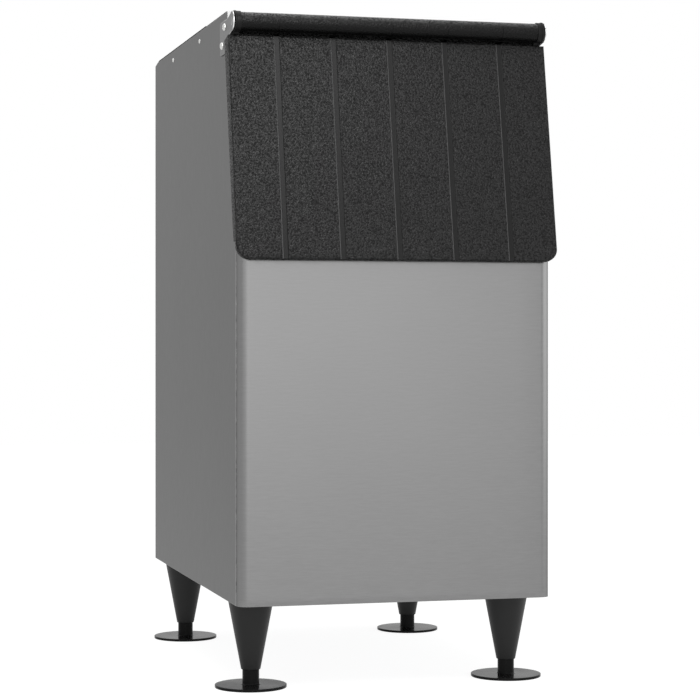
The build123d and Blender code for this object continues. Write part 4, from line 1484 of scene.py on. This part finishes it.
@dataclass
class Studio:
    """Pale floor, white surroundings, soft lamps and the camera at the photograph's view."""

    camera_place: Place = (-1.00997, -3.87227, 0.60771)
    camera_turn: float = 14.97
    sensor: float = 36.0
    lens: float = 108.165
    shift: Point = (-0.00079, -0.01901)
    surrounding_light: float = 0.5
    floor_reach: float = 8.0
    floor_drop: float = 0.0003
    floor_colour: str = "#F0F0F0"
    shadow_colour: str = "#949494"
    floor_glow: float = 0.88
    aim: float = 0.62
    lamps: tuple[Lamp, ...] = (
        Lamp("key_lamp", (-0.16, -1.5, 1.75), (0.8, 0.8), 12.0),
        Lamp("front_lamp", (-0.15, -4.5, 0.8), (4.0, 2.0), 32.0),
        Lamp("left_lamp", (-2.6, -3.0, 1.5), (2.0, 1.6), 9.0),
        Lamp("right_lamp", (3.8, -0.9, 1.0), (5.0, 1.6), 36.0),
        Lamp("top_lamp", (-0.3, -0.2, 3.4), (2.2, 2.2), 30.0))

    def build(self) -> None:
        """Set up everything round the object."""
        bpy.context.scene.view_settings.view_transform = "Standard"
        self.camera()
        self.surroundings()
        self.floor()
        for lamp in self.lamps:
            lamp.build(self.aim)
        log.info("studio: camera, floor and %d soft lamps", len(self.lamps))

    def camera(self) -> None:
        """A level camera whose shift only frames the object as the photograph does."""
        data = bpy.data.cameras.new("camera")
        data.sensor_width = self.sensor
        data.lens = self.lens
        data.shift_x, data.shift_y = self.shift
        camera = bpy.data.objects.new("camera", data)
        camera.location = self.camera_place
        camera.rotation_euler = (pi / 2, 0.0, -radians(self.camera_turn))
        bpy.context.scene.collection.objects.link(camera)
        bpy.context.scene.camera = camera

    def split_view(self, tree: Tree, output: str, light: Node, shown: Node) -> None:
        """Let one shader give the light and another be what is seen, also mirrored or through glass.

        Args:
            tree: Node tree that holds both.
            output: Blender's name of the output node.
            light: Shader for all other rays.
            shown: Shader for rays from the camera, a mirror or through glass.
        """
        rays = add_node(tree, "ShaderNodeLightPath").outputs
        seen = calculate(tree, "MAXIMUM", rays["Is Camera Ray"], rays["Is Glossy Ray"])
        seen = calculate(tree, "MAXIMUM", seen, rays["Is Transmission Ray"])
        mix = add_node(tree, "ShaderNodeMixShader", {0: seen, 1: light.outputs[0], 2: shown.outputs[0]})
        add_node(tree, output, {"Surface": mix.outputs[0]})

    def surroundings(self) -> None:
        """White to look at, a softer grey as light."""
        world = bpy.data.worlds.new("studio")
        world.use_nodes = True
        tree = world.node_tree
        tree.nodes.clear()
        light, white = (
            add_node(tree, "ShaderNodeBackground", {"Color": linear("#FFFFFF"), "Strength": strength})
            for strength in (self.surrounding_light, 1.0))
        self.split_view(tree, "ShaderNodeOutputWorld", light, white)
        bpy.context.scene.world = world

    def floor(self) -> None:
        """A large pale floor that stays white to look at and keeps the object's shadow."""
        reach = self.floor_reach
        plan = rectangle((-reach, -reach), (reach, reach))
        corners = np.insert(plan, 2, -self.floor_drop, axis=1)
        floor = mesh_object("floor", corners, [np.arange(4)[None, :]])
        material = bpy.data.materials.new("pale_floor")
        material.use_nodes = True
        tree = material.node_tree
        tree.nodes.clear()
        plain, shadow = (add_node(tree, "ShaderNodeBsdfDiffuse", {"Color": linear(colour)})
                         for colour in (self.floor_colour, self.shadow_colour))
        glow = add_node(tree, "ShaderNodeEmission", {"Color": linear("#FFFFFF"), "Strength": self.floor_glow})
        shown = add_node(tree, "ShaderNodeAddShader", {0: shadow.outputs[0], 1: glow.outputs[0]})
        self.split_view(tree, "ShaderNodeOutputMaterial", plain, shown)
        floor.data.materials.append(material)


def dress_carried_over(record: dict) -> None:
    """Give every CAD node that is still shown its slot's finish.

    Args:
        record: The part's record, which names each node's slot.
    """
    slots = {part["node"]: Slot(part["material_slot"]) for part in record["subparts"]}
    for name, node in frame["nodes"].items():
        if not node.hide_render:
            dress(node, FINISHES[slots[name]])
            log.info("%s keeps its CAD shape, finish %s", name, FINISHES[slots[name]].name)


def main() -> None:
    """Build the bin piece by piece, then the studio."""
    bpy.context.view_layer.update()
    cabinet = Cabinet()
    cabinet.build()
    Hinge().build(cabinet)
    Door().build(cabinet)
    SealingTape().build()
    Fasteners().build(cabinet)
    LevellingLegs().build()
    dress_carried_over(frame["record"])
    Studio().build()


if __name__ == "__main__":
    logging.basicConfig(level=logging.INFO, format="%(name)s: %(message)s")
    main()
